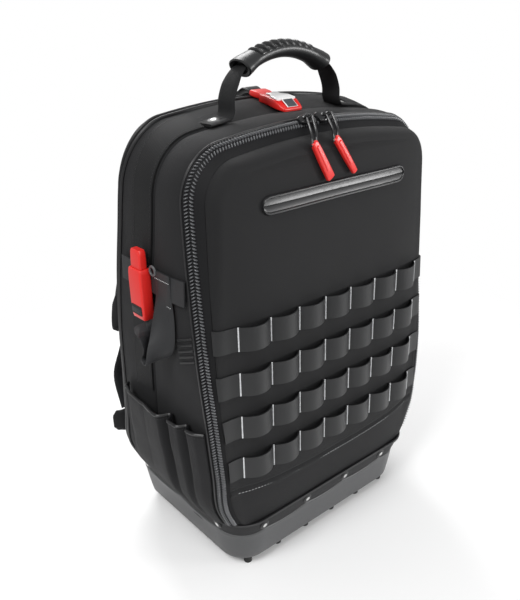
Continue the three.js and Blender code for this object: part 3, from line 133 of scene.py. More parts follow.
@dataclass(frozen=True)
class Arch:
    """The bag's outline from the front: two sides, round shoulders and a crowned top, in millimetres."""

    foot: float = 45.0
    top: float = 488.0
    half: float = 168.0
    radius: float = 50.0
    crown: float = 9.5

    @property
    def turn(self) -> float:
        """The slope of the top where it meets the shoulder."""
        return math.atan(2 * self.crown / (self.half - self.radius))

    @property
    def shoulder_z(self) -> float:
        """The height of the shoulder's centre."""
        return self.top - self.crown - self.radius * math.cos(self.turn)

    def stations(self, foot: Optional[float] = None, step: float = 4.0) -> Stations:
        """Returns stations from the left side's foot over the top to the right side's foot.

        Args:
            foot: the lowest height.
            step: the distance between stations.

        Returns:
            The stations, with the same ones on both sides.
        """
        low = self.foot if foot is None else foot
        z = np.linspace(low, self.shoulder_z, max(3, int((self.shoulder_z - low) / step)), endpoint=False)
        side = np.stack([Lines.at("half", z), z, np.ones_like(z), np.zeros_like(z)])
        reach = Lines.at("half", self.shoulder_z) - self.radius
        angle = np.linspace(0, math.pi / 2 - self.turn, max(6, int(70 / step)))
        corner = np.stack([reach + self.radius * np.cos(angle), self.shoulder_z + self.radius * np.sin(angle),
                           np.cos(angle), np.sin(angle)])
        span, rim = corner[0, -1], corner[1, -1]
        x = np.linspace(span, 0, max(4, int(span / step)))[1:]
        slope = 2 * self.crown * x / span ** 2
        top = np.stack([x, rim + self.crown * (1 - (x / span) ** 2), slope, np.ones_like(x)])
        top[2:] /= np.hypot(top[2], top[3])
        right = np.concatenate([side, corner, top], axis=1)
        left = right[:, :-1] * np.array([[-1], [1], [-1], [1]])
        return Stations(*np.concatenate([left, right[:, ::-1]], axis=1))

    def top_at(self, x: Union[float, Points]) -> Stations:
        """Returns stations on the top at distances from the middle."""
        x = np.atleast_1d(np.asarray(x, float))
        reach = Lines.at("half", self.shoulder_z) - self.radius
        angle = math.pi / 2 - self.turn
        span = reach + self.radius * math.cos(angle)
        rim = self.shoulder_z + self.radius * math.sin(angle)
        slope = 2 * self.crown * x / span ** 2
        size = np.hypot(slope, 1)
        return Stations(x, rim + self.crown * (1 - (x / span) ** 2), slope / size, 1 / size)

    def right_half(self, z: Points) -> Stations:
        """Returns the right side's stations at heights, and then those up to the middle of the top."""
        side = self.side_at(RIGHT, z[z < self.shoulder_z])
        upper = self.stations(foot=self.shoulder_z - 0.5, step=3.0)
        keep = upper.x >= -1e-6
        columns = ((getattr(side, k), getattr(upper, k)[keep][::-1]) for k in ("x", "z", "nx", "nz"))
        return Stations(*(np.concatenate(pair) for pair in columns))

    def side_at(self, side: int, z: Union[float, Points]) -> Stations:
        """Returns stations on one of the sides at heights."""
        z = np.atleast_1d(np.asarray(z, float))
        return Stations(side * Lines.at("half", z), z, side * np.ones_like(z), np.zeros_like(z))


ARCH = Arch()


def beside(s: Stations, side: Points, rise: Points, depth: Points, out: Union[float, Points] = 0.0) -> Points:
    """Returns points beside stations: out from the outline by side or rise, at depths."""
    depth = depth + np.zeros(len(s))
    return np.stack([s.x + s.nx * (side + out), depth, s.z + s.nz * (rise + out)], axis=-1)


def zip_line(s: Stations, across: float, out: float = 0.0) -> Points:
    """Returns the main zip's face at stations: across is -1 at the lid, 0 at the coil and 1 at the bag."""
    inset, depth = s.column("inset"), s.column("zip")
    if across < 0:
        return beside(s, -inset + LID_TAPE * across, LID_TAPE * across, depth * (1 + 0.4 * across), out)
    return beside(s, -inset + 3 * across, 3.0 * across, depth + 6 * across, out)


def bag_face(s: Stations, along: Union[float, Points], out: Union[float, Points] = 0.0) -> Points:
    """Returns points on the bag's side and top wall.

    Args:
        s: the stations.
        along: 0 at the zip, 1 at the middle seam and 2 at the rear compartment, one for each station.
        out: how far off the wall.

    Returns:
        The points.
    """
    along = along + np.zeros(len(s))
    front, seam, rear = s.column("zip") + BAG_TAPE, s.column("seam"), s.column("gusset")
    near, far = np.clip(along, 0, 1), np.clip(along - 1, 0, 1)
    depth = front + near * (seam - front) + far * (rear - seam)
    rounding = (3 - s.column("inset")) * np.exp(-6 * near)
    puff = 2.2 * np.sin(np.pi * near) ** 0.8 + 1.8 * np.sin(np.pi * far) ** 0.8
    return beside(s, rounding + puff, 3 + 3 * near + 11 * far + puff, depth, out)


def bag_share(s: Stations, depth: Union[float, Points]) -> Points:
    """Returns where depths lie along the bag's wall, as bag_face takes it."""
    front, seam, rear = s.column("zip") + BAG_TAPE, s.column("seam"), s.column("gusset")
    depth = depth + np.zeros(len(s))
    return np.where(depth < seam, (depth - front) / (seam - front), 1 + (depth - seam) / (rear - seam))


def on_bag(s: Stations, depth: Union[float, Points], out: Union[float, Points] = 0.0) -> Points:
    """Returns points on the bag's wall at depths, lifted off it by out."""
    return bag_face(s, np.clip(bag_share(s, depth), 0, 2), out)


def on_gusset(s: Stations, along: float, out: float = 0.0) -> Points:
    """Returns points on the rear compartment's gusset: along is 0 at its front seam and 1 at its rear one."""
    front, rear = s.column("gusset") + 0.3, s.column("piping")
    return beside(s, np.full(len(s), -GUSSET_INSET * along), np.full(len(s), GUSSET_RISE),
                  front + along * (rear - front), out)


def face_depth(x: Union[float, Points]) -> Points:
    """Returns how far back the lid's crowned face lies at a distance from the middle."""
    reach = np.asarray(x, float) / 150
    return -6.3 * reach ** 2 + 14.1 * reach ** 4


def on_lid(x: Union[float, Points], z: Union[float, Points], out: Union[float, Points] = 0.0) -> Points:
    """Returns points on the lid's face, lifted off it by out."""
    x, z = np.broadcast_arrays(np.asarray(x, float), np.asarray(z, float))
    depth = face_depth(x) + np.maximum(Lines.at("setback", z), 0) - out
    return np.stack([x, depth, z], axis=-1)


def lid_seam(x: Union[float, Points]) -> Points:
    """Returns the height of the lid's lower seam at a distance from the middle."""
    return 117 + 10 * (np.abs(x) / 144) ** 2


def lid_edge(side: int, angle: Union[float, Points], z: Union[float, Points], out: float = 0.0) -> Points:
    """Returns points round the lid's side edge: angle 0 is at the zip and 90 at the edge of the face."""
    angle, z = np.broadcast_arrays(np.radians(np.asarray(angle, float)), np.asarray(z, float))
    rim = Lines.at("half", z) - Lines.at("inset", z) - LID_TAPE
    near = Lines.at("zip", z) * 0.6
    far = face_depth(rim - LID_ROUND) + np.maximum(Lines.at("setback", z), 0)
    sine, cosine = np.sin(angle), np.cos(angle)
    normal = np.stack([(near - far) * cosine, -LID_ROUND * sine], axis=-1)
    normal *= out / np.linalg.norm(normal, axis=-1, keepdims=True)
    return np.stack([side * (rim - LID_ROUND * (1 - cosine) + normal[..., 0]),
                     near + (far - near) * sine + normal[..., 1], z], axis=-1)


TUB_BOX, LID_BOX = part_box("base_tub"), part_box("front_lid")
SHIFT = np.array([500 * (TUB_BOX[0].x + TUB_BOX[1].x), 1000 * LID_BOX[0].y + 0.7, 0.0])
MIDDLE_DEPTH = 111.7


def metres(points: Points) -> Points:
    """Returns points of the bag's own frame, in millimetres, as the CAD frame's metres."""
    return (np.asarray(points, float) + SHIFT) / 1000


def node_box(name: str) -> tuple[Points, Points]:
    """Returns the low and high corners of a CAD node's box in the bag's own frame."""
    low, high = (1000 * np.array(corner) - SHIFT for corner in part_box(name))
    return low, high


def wobble(points: Points, size: float, seed: float = 0.0) -> Points:
    """Returns an uneven number of about -1 to 1 at each point, with smooth waves of a size in millimetres."""
    p = np.asarray(points, float) / size
    x, y, z = p[..., 0] + seed, p[..., 1] + 1.7 * seed, p[..., 2] - 0.6 * seed
    return (np.sin(2.1 * x + 1.3 * z + np.sin(1.7 * y + seed)) + np.sin(2.9 * z - 1.1 * y + 2 * np.sin(0.9 * x))
            + np.sin(1.3 * y + 2.3 * x - 0.7 * z)) / 3


# Meshes
def mesh_object(name: str, points: Points, faces: Sequence[Sequence[int]], uvs: Optional[Points] = None,
                scaled: bool = False) -> bpy.types.Object:
    """Makes a mesh object.

    Args:
        name: the piece's name.
        points: its points, in the bag's frame in millimetres, or in metres if scaled.
        faces: the indices of each face's points.
        uvs: the place of each point on the cloth, in metres, if it has a weave.
        scaled: whether the points are in the CAD frame's metres already.

    Returns:
        The object, at the origin.
    """
    flat = np.asarray(points, float).reshape(-1, 3)
    mesh = bpy.data.meshes.new(name)
    mesh.from_pydata((flat if scaled else metres(flat)).tolist(), [], [list(map(int, f)) for f in faces])
    if uvs is not None:
        layer = mesh.uv_layers.new(name="weave")
        corners = np.empty(len(mesh.loops), int)
        mesh.loops.foreach_get("vertex_index", corners)
        layer.data.foreach_set("uv", np.asarray(uvs, float).reshape(-1, 2)[corners].ravel())
    made = bpy.data.objects.new(name, mesh)
    bpy.context.scene.collection.objects.link(made)
    return made


def outward(made: bpy.types.Object) -> bpy.types.Object:
    """Turns a closed mesh's faces outwards and returns it."""
    work = bmesh.new()
    work.from_mesh(made.data)
    bmesh.ops.remove_doubles(work, verts=work.verts, dist=1e-6)
    bmesh.ops.recalc_face_normals(work, faces=work.faces)
    work.to_mesh(made.data)
    work.free()
    return made


def loft(name: str, rings: Points, wrap: bool = False, caps: bool = True) -> bpy.types.Object:
    """Makes a closed skin through rings of points.

    Args:
        name: the piece's name.
        rings: rows of points, one row for each ring.
        wrap: whether the last ring joins the first.
        caps: whether the first and last rings are filled.

    Returns:
        The object, with its faces outwards and its weave's map in metres.
    """
    rings = np.asarray(rings, float)
    rows, count = rings.shape[:2]
    grid = np.arange(rows * count).reshape(rows, count)
    turns = np.roll(grid, -1, axis=1)
    low, high = (grid, np.roll(grid, -1, axis=0)) if wrap else (grid[:-1], grid[1:])
    low_next, high_next = (turns, np.roll(turns, -1, axis=0)) if wrap else (turns[:-1], turns[1:])
    faces = np.stack([low, low_next, high_next, high], axis=-1).reshape(-1, 4).tolist()
    if caps and not wrap:
        faces += [grid[0][::-1].tolist(), grid[-1].tolist()]
    around = np.linalg.norm(np.diff(rings, axis=1, prepend=rings[:, :1]), axis=2).cumsum(axis=1)
    along = np.linalg.norm(np.diff(rings, axis=0, prepend=rings[:1]), axis=2).mean(axis=1).cumsum()
    uvs = np.stack([around, np.broadcast_to(along[:, None], around.shape)], axis=-1) / 1000
    return outward(mesh_object(name, rings, faces, uvs))


def shell(name: str, face: Points, inner: Points, wrap: bool = False) -> bpy.types.Object:
    """Makes a wall between an outer and an inner grid of points that match."""
    return loft(name, np.concatenate([np.asarray(face), np.asarray(inner)[:, ::-1]], axis=1), wrap=wrap)


def directions(path: Points) -> Points:
    """Returns the direction along a path at each of its points."""
    along = np.gradient(np.asarray(path, float), axis=0)
    return along / np.linalg.norm(along, axis=1, keepdims=True)


def smooth_path(stops: Points, count: int) -> Points:
    """Returns evenly numbered points on a smooth curve through stops."""
    stops = np.asarray(stops, float)
    padded = np.concatenate([2 * stops[:1] - stops[1:2], stops, 2 * stops[-1:] - stops[-2:-1]])
    place = np.linspace(0, len(stops) - 1, count)
    i = np.minimum(place.astype(int), len(stops) - 2)
    t = (place - i)[:, None]
    a, b, c, d = (padded[i + k] for k in range(4))
    return 0.5 * (2 * b + (c - a) * t + (2 * a - 5 * b + 4 * c - d) * t ** 2 + (3 * b - a - 3 * c + d) * t ** 3)


def strap(name: str, path: Points, across: Points, width: Union[float, Points], thickness: float,
          edge: float = 0.35) -> bpy.types.Object:
    """Makes flat webbing with soft edges along a path.

    Args:
        name: the piece's name.
        path: points on its inner face, along its middle.
        across: the direction across it at each point.
        width: its width.
        thickness: its thickness, to the right of the path as across points up.
        edge: the share of the thickness that its edges are rounded by.

    Returns:
        The object.
    """
    path = np.asarray(path, float)
    along = directions(path)
    side = np.asarray(across, float) + np.zeros_like(path)
    side = side - along * np.sum(side * along, axis=1, keepdims=True)
    side /= np.linalg.norm(side, axis=1, keepdims=True)
    out = np.cross(side, along) * thickness
    width = np.broadcast_to(width, len(path))[:, None]
    soft = thickness * edge * 1.6
    profile = [(-0.5, edge, 0), (-0.5, 1 - edge, 0), (-0.5, 1, soft), (-0.25, 1, 0), (0, 1, 0), (0.25, 1, 0),
               (0.5, 1, -soft), (0.5, 1 - edge, 0), (0.5, edge, 0), (0.5, 0, -soft), (0, 0, 0), (-0.5, 0, soft)]
    rings = [path + side * (share * width + inset) + out * lift for share, lift, inset in profile]
    return loft(name, np.stack(rings, axis=1))


def tube(name: str, path: Points, radius: float, sides: int = 8, closed: bool = False) -> bpy.types.Object:
    """Makes a round cord or wire along a path."""
    path = np.asarray(path, float)
    along = directions(path)
    if closed:
        along = np.roll(path, -1, axis=0) - np.roll(path, 1, axis=0)
        along /= np.linalg.norm(along, axis=1, keepdims=True)
    side = np.cross(along, np.array([0.31, 0.87, 0.41]))
    side /= np.linalg.norm(side, axis=1, keepdims=True)
    up = np.cross(along, side)
    angles = np.linspace(0, 2 * math.pi, sides, endpoint=False)
    rings = [path + radius * (math.cos(a) * side + math.sin(a) * up) for a in angles]
    return loft(name, np.stack(rings, axis=1), wrap=closed)


def rounded_outline(width: float, height: float, radius: float, steps: int = 5) -> Points:
    """Returns a rectangle with round corners about the origin, as points in a plane."""
    turns = []
    for k, (sx, sy) in enumerate(((1, -1), (1, 1), (-1, 1), (-1, -1))):
        angle = math.pi / 2 * (k - 1) + np.linspace(0, math.pi / 2, steps)
        centre = np.array([sx * (width / 2 - radius), sy * (height / 2 - radius)])
        turns.append(centre + radius * np.stack([np.cos(angle), np.sin(angle)], axis=1))
    return np.concatenate(turns)


def moulding(name: str, levels: Sequence[tuple[float, float]], width: float, height: float, radius: float,
             place: Callable[[Points], Points]) -> bpy.types.Object:
    """Makes a moulded block from one outline drawn in by different amounts at different levels.

    Args:
        name: the piece's name.
        levels: the height and the inset of each level.
        width: the outline's width.
        height: the outline's height.
        radius: the outline's corner radius.
        place: takes points across, along and up to the bag's frame.

    Returns:
        The object.
    """
    rings = []
    for up, inset in levels:
        flat = rounded_outline(width - 2 * inset, height - 2 * inset, max(radius - inset * 0.6, 0.3))
        rings.append(place(np.column_stack([flat, np.full(len(flat), up)])))
    return loft(name, np.array(rings))


def bar(name: str, stops: Sequence[tuple[float, float, float, float, float]],
        place: Callable[[Points], Points]) -> bpy.types.Object:
    """Makes a moulded bar from rounded sections along its length.

    Args:
        name: the piece's name.
        stops: for each section its place along, its half width, its foot, its top and its corner radius.
        place: takes points across, along and up to the bag's frame.

    Returns:
        The object.
    """
    rings = []
    for along, half, low, high, radius in stops:
        section = rounded_outline(2 * half, high - low, radius)
        ring = np.column_stack([section[:, 0], np.full(len(section), along), section[:, 1] + (low + high) / 2])
        rings.append(place(ring))
    return loft(name, np.array(rings))


def cover(edge: Points, depth: Callable[[Points, Points], Points], columns: int = 47) -> Points:
    """Returns a grid over the whole width from the right half of a rounded edge.

    Args:
        edge: rows of points from the seam to the edge of the face, one row for each turn of the edge.
        depth: gives the face's depth at places across and up.
        columns: how many columns the face has.

    Returns:
        The grid, from the right seam over the face to the left seam.
    """
    rim = edge[-1]
    face = []
    for share in np.linspace(1, -1, columns + 2)[1:-1]:
        x = rim[:, 0] * share
        face.append(np.stack([x, depth(x, rim[:, 2]), rim[:, 2]], axis=-1))
    return np.concatenate([edge, np.stack(face), edge[::-1] * np.array([-1, 1, 1])])


def soft_levels(thickness: float, bevel: float) -> list[tuple[float, float]]:
    """Returns the levels of a plate with round edges."""
    round_edge = [(0, 1), (0.13, 0.5), (0.5, 0.13), (1, 0)]
    foot = [(bevel * up, bevel * inset) for up, inset in round_edge]
    return foot + [(thickness - up, inset) for up, inset in reversed(foot)]


def frame_placer(origin: Points, across: Points, along: Points) -> Callable[[Points], Points]:
    """Returns a function that takes points across, along and up to a place turned that way."""
    u = np.asarray(across, float) / np.linalg.norm(across)
    v = np.asarray(along, float) - u * np.dot(along, u)
    v /= np.linalg.norm(v)
    basis = np.stack([u, v, np.cross(u, v)])
    return lambda points: np.asarray(origin, float) + np.asarray(points, float) @ basis


def join(name: str, parts: Sequence[bpy.types.Object]) -> bpy.types.Object:
    """Joins objects at the origin into one and returns it, keeping their materials and weave maps."""
    with bpy.context.temp_override(active_object=parts[0], selected_editable_objects=list(parts),
                                   selected_objects=list(parts)):
        bpy.ops.object.join()
    parts[0].name = parts[0].data.name = name
    return parts[0]


# Shader maths
class Value:
    """A shader socket that takes part in arithmetic."""

    def __init__(self, graph: "Graph", socket: bpy.types.NodeSocket) -> None:
        """Wraps a socket of a graph."""
        self.graph, self.socket = graph, socket

    def _maths(self, operation: str, *others: Any) -> "Value":
        """Adds a Math node on this value and others."""
        sockets = {i: other for i, other in enumerate((self, *others))}
        return self.graph.node("ShaderNodeMath", {"operation": operation}, sockets)

    def __add__(self, other: Any) -> "Value":
        """Sum."""
        return self._maths("ADD", other)

    __radd__ = __add__

    def __sub__(self, other: Any) -> "Value":
        """Difference."""
        return self._maths("SUBTRACT", other)

    def __rsub__(self, other: float) -> "Value":
        """Difference, with this value taken away."""
        return self.graph.node("ShaderNodeMath", {"operation": "SUBTRACT"}, {0: other, 1: self})

    def __mul__(self, other: Any) -> "Value":
        """Product."""
        return self._maths("MULTIPLY", other)

    __rmul__ = __mul__

    def __pow__(self, other: float) -> "Value":
        """Power."""
        return self._maths("POWER", other)

    def sine(self) -> "Value":
        """Sine."""
        return self._maths("SINE")

    def size(self) -> "Value":
        """Distance from zero."""
        return self._maths("ABSOLUTE")

    def clamped(self) -> "Value":
        """This value held between 0 and 1."""
        return self._maths("MAXIMUM", 0.0)._maths("MINIMUM", 1.0)

    def above(self, edge: float, blur: float) -> "Value":
        """0 below an edge and 1 above it, blurred."""
        return ((self - (edge - blur / 2)) * (1 / blur)).clamped()


class Graph:
    """A material's node tree, with its Principled shader."""

    def __init__(self, name: str) -> None:
        """Starts a material with a bare Principled shader."""
        self.material = bpy.data.materials.new(name)
        self.material.use_nodes = True
        self.tree = self.material.node_tree
        self.shader = self.tree.nodes["Principled BSDF"]

    def node(self, kind: str, settings: Optional[dict[str, Any]] = None, sockets: Optional[dict[Any, Any]] = None,
             output: Union[int, str] = 0) -> Value:
        """Adds a node.

        Args:
            kind: the node's type.
            settings: its own settings, such as a Math node's operation, set first.
            sockets: values or links by input name or number.
            output: the output that is wanted.

        Returns:
            The output as a value.
        """
        made = self.tree.nodes.new(kind)
        for key, value in (settings or {}).items():
            if key == "stops":
                self._ramp(made, value)
            else:
                setattr(made, key, value)
        for key, value in (sockets or {}).items():
            if isinstance(value, Value):
                self.tree.links.new(value.socket, made.inputs[key])
            else:
                made.inputs[key].default_value = value
        return Value(self, made.outputs[output])

    @staticmethod
    def _ramp(made: bpy.types.Node, stops: Sequence[tuple[float, Sequence[float]]]) -> None:
        """Sets a colour ramp's stops."""
        while len(made.color_ramp.elements) < len(stops):
            made.color_ramp.elements.new(0.5)
        for element, (place, colour) in zip(made.color_ramp.elements, stops):
            element.position, element.color = place, (*colour, 1)

    def coordinates(self, weave: bool) -> Value:
        """Returns the piece's own weave map, or its object coordinates."""
        return self.node("ShaderNodeTexCoord", output="UV" if weave else "Object")

    def apart(self, vector: Value) -> tuple[Value, Value, Value]:
        """Returns a vector's three numbers."""
        split = self.node("ShaderNodeSeparateXYZ", None, {0: vector})
        return tuple(Value(self, split.socket.node.outputs[i]) for i in range(3))

    def noise(self, vector: Value, scale: float, detail: float = 2.0, rough: float = 0.5) -> Value:
        """Returns a noise of 0 to 1 at a scale in waves a metre."""
        return self.node("ShaderNodeTexNoise", None,
                         {"Vector": vector, "Scale": scale, "Detail": detail, "Roughness": rough}, "Fac")

    def mix(self, factor: Value, low: Sequence[float], high: Sequence[float]) -> Value:
        """Returns a colour between two, by a factor."""
        return self.node("ShaderNodeMix", {"data_type": "RGBA"}, {0: factor, 6: (*low, 1), 7: (*high, 1)}, 2)

    def bump(self, height: Value, distance: float, strength: float = 1.0) -> None:
        """Links a height, in units of a distance in metres, to the shader's normal."""
        made = self.node("ShaderNodeBump", None, {"Height": height, "Distance": distance, "Strength": strength},
                         "Normal")
        self.tree.links.new(made.socket, self.shader.inputs["Normal"])

    def link(self, **sockets: Union[Value, float, Sequence[float]]) -> None:
        """Sets or links the shader's own sockets, named with underscores for spaces."""
        for key, value in sockets.items():
            socket = self.shader.inputs[key.replace("_", " ")]
            if isinstance(value, Value):
                self.tree.links.new(value.socket, socket)
            else:
                socket.default_value = value


def tint(colour: Sequence[float], share: float) -> tuple[float, float, float]:
    """Returns a colour made lighter or darker by a share."""
    return tuple(min(1.0, c * share) for c in colour)


class Weave(Enum):
    """How a cloth's threads cross."""

    TWILL = "twill"
    PLAIN = "plain"
    RIBBED = "ribbed"
    SPACER = "spacer"


@dataclass(frozen=True)
class Cloth:
    """A woven finish, with its thread pitch and relief in metres; level is how much it shines."""

    name: str
    colour: tuple[float, float, float]
    weave: Weave = Weave.TWILL
    pitch: float = 0.0011
    rough: float = 0.78
    relief: float = 0.00018
    contrast: float = 0.35
    sheen: float = 0.04
    mapped: bool = True
    level: float = 0.22

    def build(self) -> bpy.types.Material:
        """Returns the finish as a material."""
        g = Graph(self.name)
        place = g.coordinates(self.mapped)
        u, v, w = g.apart(place)
        turn = 2 * math.pi / self.pitch
        if not self.mapped:
            u, v = u + 0.31 * v, w
        if self.weave is Weave.TWILL:
            twill = (u * turn + v * turn).sine() * 0.5 + 0.5
            thread = twill * 0.75 + ((v * turn * 3).sine() * 0.5 + 0.5) * 0.25
        elif self.weave is Weave.PLAIN:
            thread = (u * turn).sine() * (v * turn).sine() * 0.5 + 0.5
        elif self.weave is Weave.RIBBED:
            rib = (v * turn).sine().size()
            thread = rib * 0.6 + (u * turn * 0.5 + (v * turn * 0.5).sine()).sine().size() * 0.4
        else:
            cells = g.node("ShaderNodeTexVoronoi", {"feature": "DISTANCE_TO_EDGE"},
                           {"Vector": place, "Scale": 1 / (self.pitch * 2.4)}, "Distance")
            thread = cells.above(0.12, 0.1)
        patchy = g.noise(place, 14, 3, 0.6)
        dusty = g.noise(place, 900, 2, 0.7)
        shade = (thread * self.contrast + dusty * 0.35 + patchy * 0.3 + (0.35 - self.contrast) * 0.5).clamped()
        g.link(Base_Color=g.mix(shade, tint(self.colour, 0.62), tint(self.colour, 1.42)),
               Roughness=(self.rough - 0.08 + thread * 0.1 + patchy * 0.06).clamped(),
               Sheen_Weight=self.sheen, Sheen_Roughness=0.45, Specular_IOR_Level=self.level)
        g.bump(thread * 0.8 + dusty * 0.4, self.relief)
        return g.material


@dataclass(frozen=True)
class Moulded:
    """A moulded plastic finish."""

    name: str
    colour: tuple[float, float, float]
    rough: float
    grain: float = 0.00003
    scale: float = 1800.0
    coat: float = 0.0
    wear: float = 0.12

    def build(self) -> bpy.types.Material:
        """Returns the finish as a material."""
        g = Graph(self.name)
        place = g.coordinates(False)
        grain = g.noise(place, self.scale, 2, 0.55)
        cloudy = g.noise(place, 22, 3, 0.6)
        scuffs = g.noise(place, 160, 4, 0.75).above(0.62, 0.12)
        shade = (cloudy * 0.7 + grain * 0.3).clamped()
        g.link(Base_Color=g.mix(shade, tint(self.colour, 1 - self.wear), tint(self.colour, 1 + self.wear)),
               Roughness=(self.rough - 0.04 + grain * 0.06 + scuffs * self.wear * 0.6).clamped(),
               Coat_Weight=self.coat, Coat_Roughness=0.18)
        g.bump(grain + cloudy * 0.2, self.grain)
        return g.material


@dataclass(frozen=True)
class Metal:
    """A plated metal finish."""

    name: str
    colour: tuple[float, float, float]
    rough: float = 0.25

    def build(self) -> bpy.types.Material:
        """Returns the finish as a material."""
        g = Graph(self.name)
        place = g.coordinates(False)
        scratch = g.noise(place, 2400, 3, 0.7)
        g.link(Base_Color=g.mix(scratch, tint(self.colour, 0.85), self.colour), Metallic=1.0,
               Roughness=(self.rough + scratch * 0.14).clamped())
        g.bump(scratch, 0.00002)
        return g.material


class Finishes:
    """The materials of the backpack, each built once, when it is first asked for."""

    KINDS: tuple[Union[Cloth, Moulded, Metal], ...] = (
        Cloth("bag_cloth", (0.0125, 0.0125, 0.0135)),
        Cloth("lid_cloth", (0.0105, 0.0105, 0.0112), rough=0.74),
        Cloth("webbing", (0.0085, 0.0088, 0.0095), Weave.RIBBED, 0.0024, 0.4, 0.00016, 0.4, 0.0, level=0.5),
        Cloth("strap_webbing", (0.0145, 0.015, 0.0165), Weave.RIBBED, 0.0022, 0.52, 0.00018, 0.4, 0.02,
              level=0.4),
        Cloth("leg_webbing", (0.0095, 0.0096, 0.0102), Weave.TWILL, 0.0022, 0.66, 0.0003, 0.5, 0.02, level=0.2),
        Cloth("zip_tape", (0.006, 0.006, 0.0068), Weave.PLAIN, 0.0014, 0.7, 0.00012, 0.3, 0.0),
        Cloth("trim_band", (0.012, 0.012, 0.013), Weave.PLAIN, 0.0028, 0.55, 0.0003, 0.45, 0.02),
        Cloth("spacer_mesh", (0.011, 0.011, 0.012), Weave.SPACER, 0.0021, 0.85, 0.0005, 0.5, 0.05, mapped=False),
        Cloth("pad_cloth", (0.014, 0.014, 0.015), Weave.PLAIN, 0.0013, 0.8, 0.0002, 0.35, 0.03, mapped=False),
        Moulded("tub", (0.06, 0.061, 0.063), 0.46, 0.00004, 1400.0, wear=0.1),
        Moulded("rubber", (0.008, 0.008, 0.008), 0.7, 0.00004),
        Moulded("black_gloss", (0.007, 0.007, 0.008), 0.22, 0.000012, coat=0.35),
        Moulded("grip_plastic", (0.012, 0.0125, 0.013), 0.4, 0.000015, coat=0.05),
        Moulded("red", (0.7, 0.018, 0.014), 0.36, 0.000012, coat=0.1, wear=0.08),
        # Painted highlight: white standing for the shine on the top buckle's red upper face
        Moulded("painted_highlight_white", (0.86, 0.86, 0.86), 0.18, 0.00001, coat=0.5, wear=0.03),
        Moulded("grey_patch", (0.06, 0.067, 0.075), 0.45),
        Moulded("coil", (0.085, 0.087, 0.092), 0.26, 0.00001, coat=0.3),
        Moulded("welt", (0.012, 0.012, 0.013), 0.34, 0.00002, 900.0),
        Moulded("cord", (0.007, 0.007, 0.008), 0.42, 0.00002, 900.0),
        Moulded("pale_cord", (0.08, 0.082, 0.086), 0.45, 0.00002, 900.0),
        Moulded("thread", (0.022, 0.022, 0.024), 0.6, 0.00003, 3000.0),
        Moulded("grey_thread", (0.62, 0.63, 0.64), 0.55, 0.00003, 3000.0),
        Metal("rivet", (0.72, 0.72, 0.71)),
    )
    _made: dict[str, bpy.types.Material] = {}

    @classmethod
    def get(cls, name: str) -> bpy.types.Material:
        """Returns a finish by name."""
        if name not in cls._made:
            cls._made[name] = next(kind for kind in cls.KINDS if kind.name == name).build()
        return cls._made[name]


def dress(made: bpy.types.Object, finish: str, nodes: Iterable[str] = (), body: str = BAG,
          crease: float = 38.0) -> bpy.types.Object:
    """Gives a piece its finish and its body, and hides the CAD nodes that it stands for.

    Args:
        made: the piece.
        finish: the finish's name.
        nodes: the CAD nodes that it stands for.
        body: the body that it moves with.
        crease: the angle, in degrees, past which an edge stays sharp.

    Returns:
        The piece.
    """
    if finish and not made.data.materials:
        made.data.materials.append(Finishes.get(finish))
    made.data.polygons.foreach_set("use_smooth", [True] * len(made.data.polygons))
    made.data.set_sharp_from_angle(angle=math.radians(crease))
    if nodes:
        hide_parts(*nodes)
    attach(made, body)
    log.info("%s: %d faces", made.name, len(made.data.polygons))
    return made


# Repeats, by Geometry Nodes
class Bead(Enum):
    """The shape that is repeated."""

    ROUND = "GeometryNodeMeshUVSphere"
    ROD = "GeometryNodeMeshCylinder"


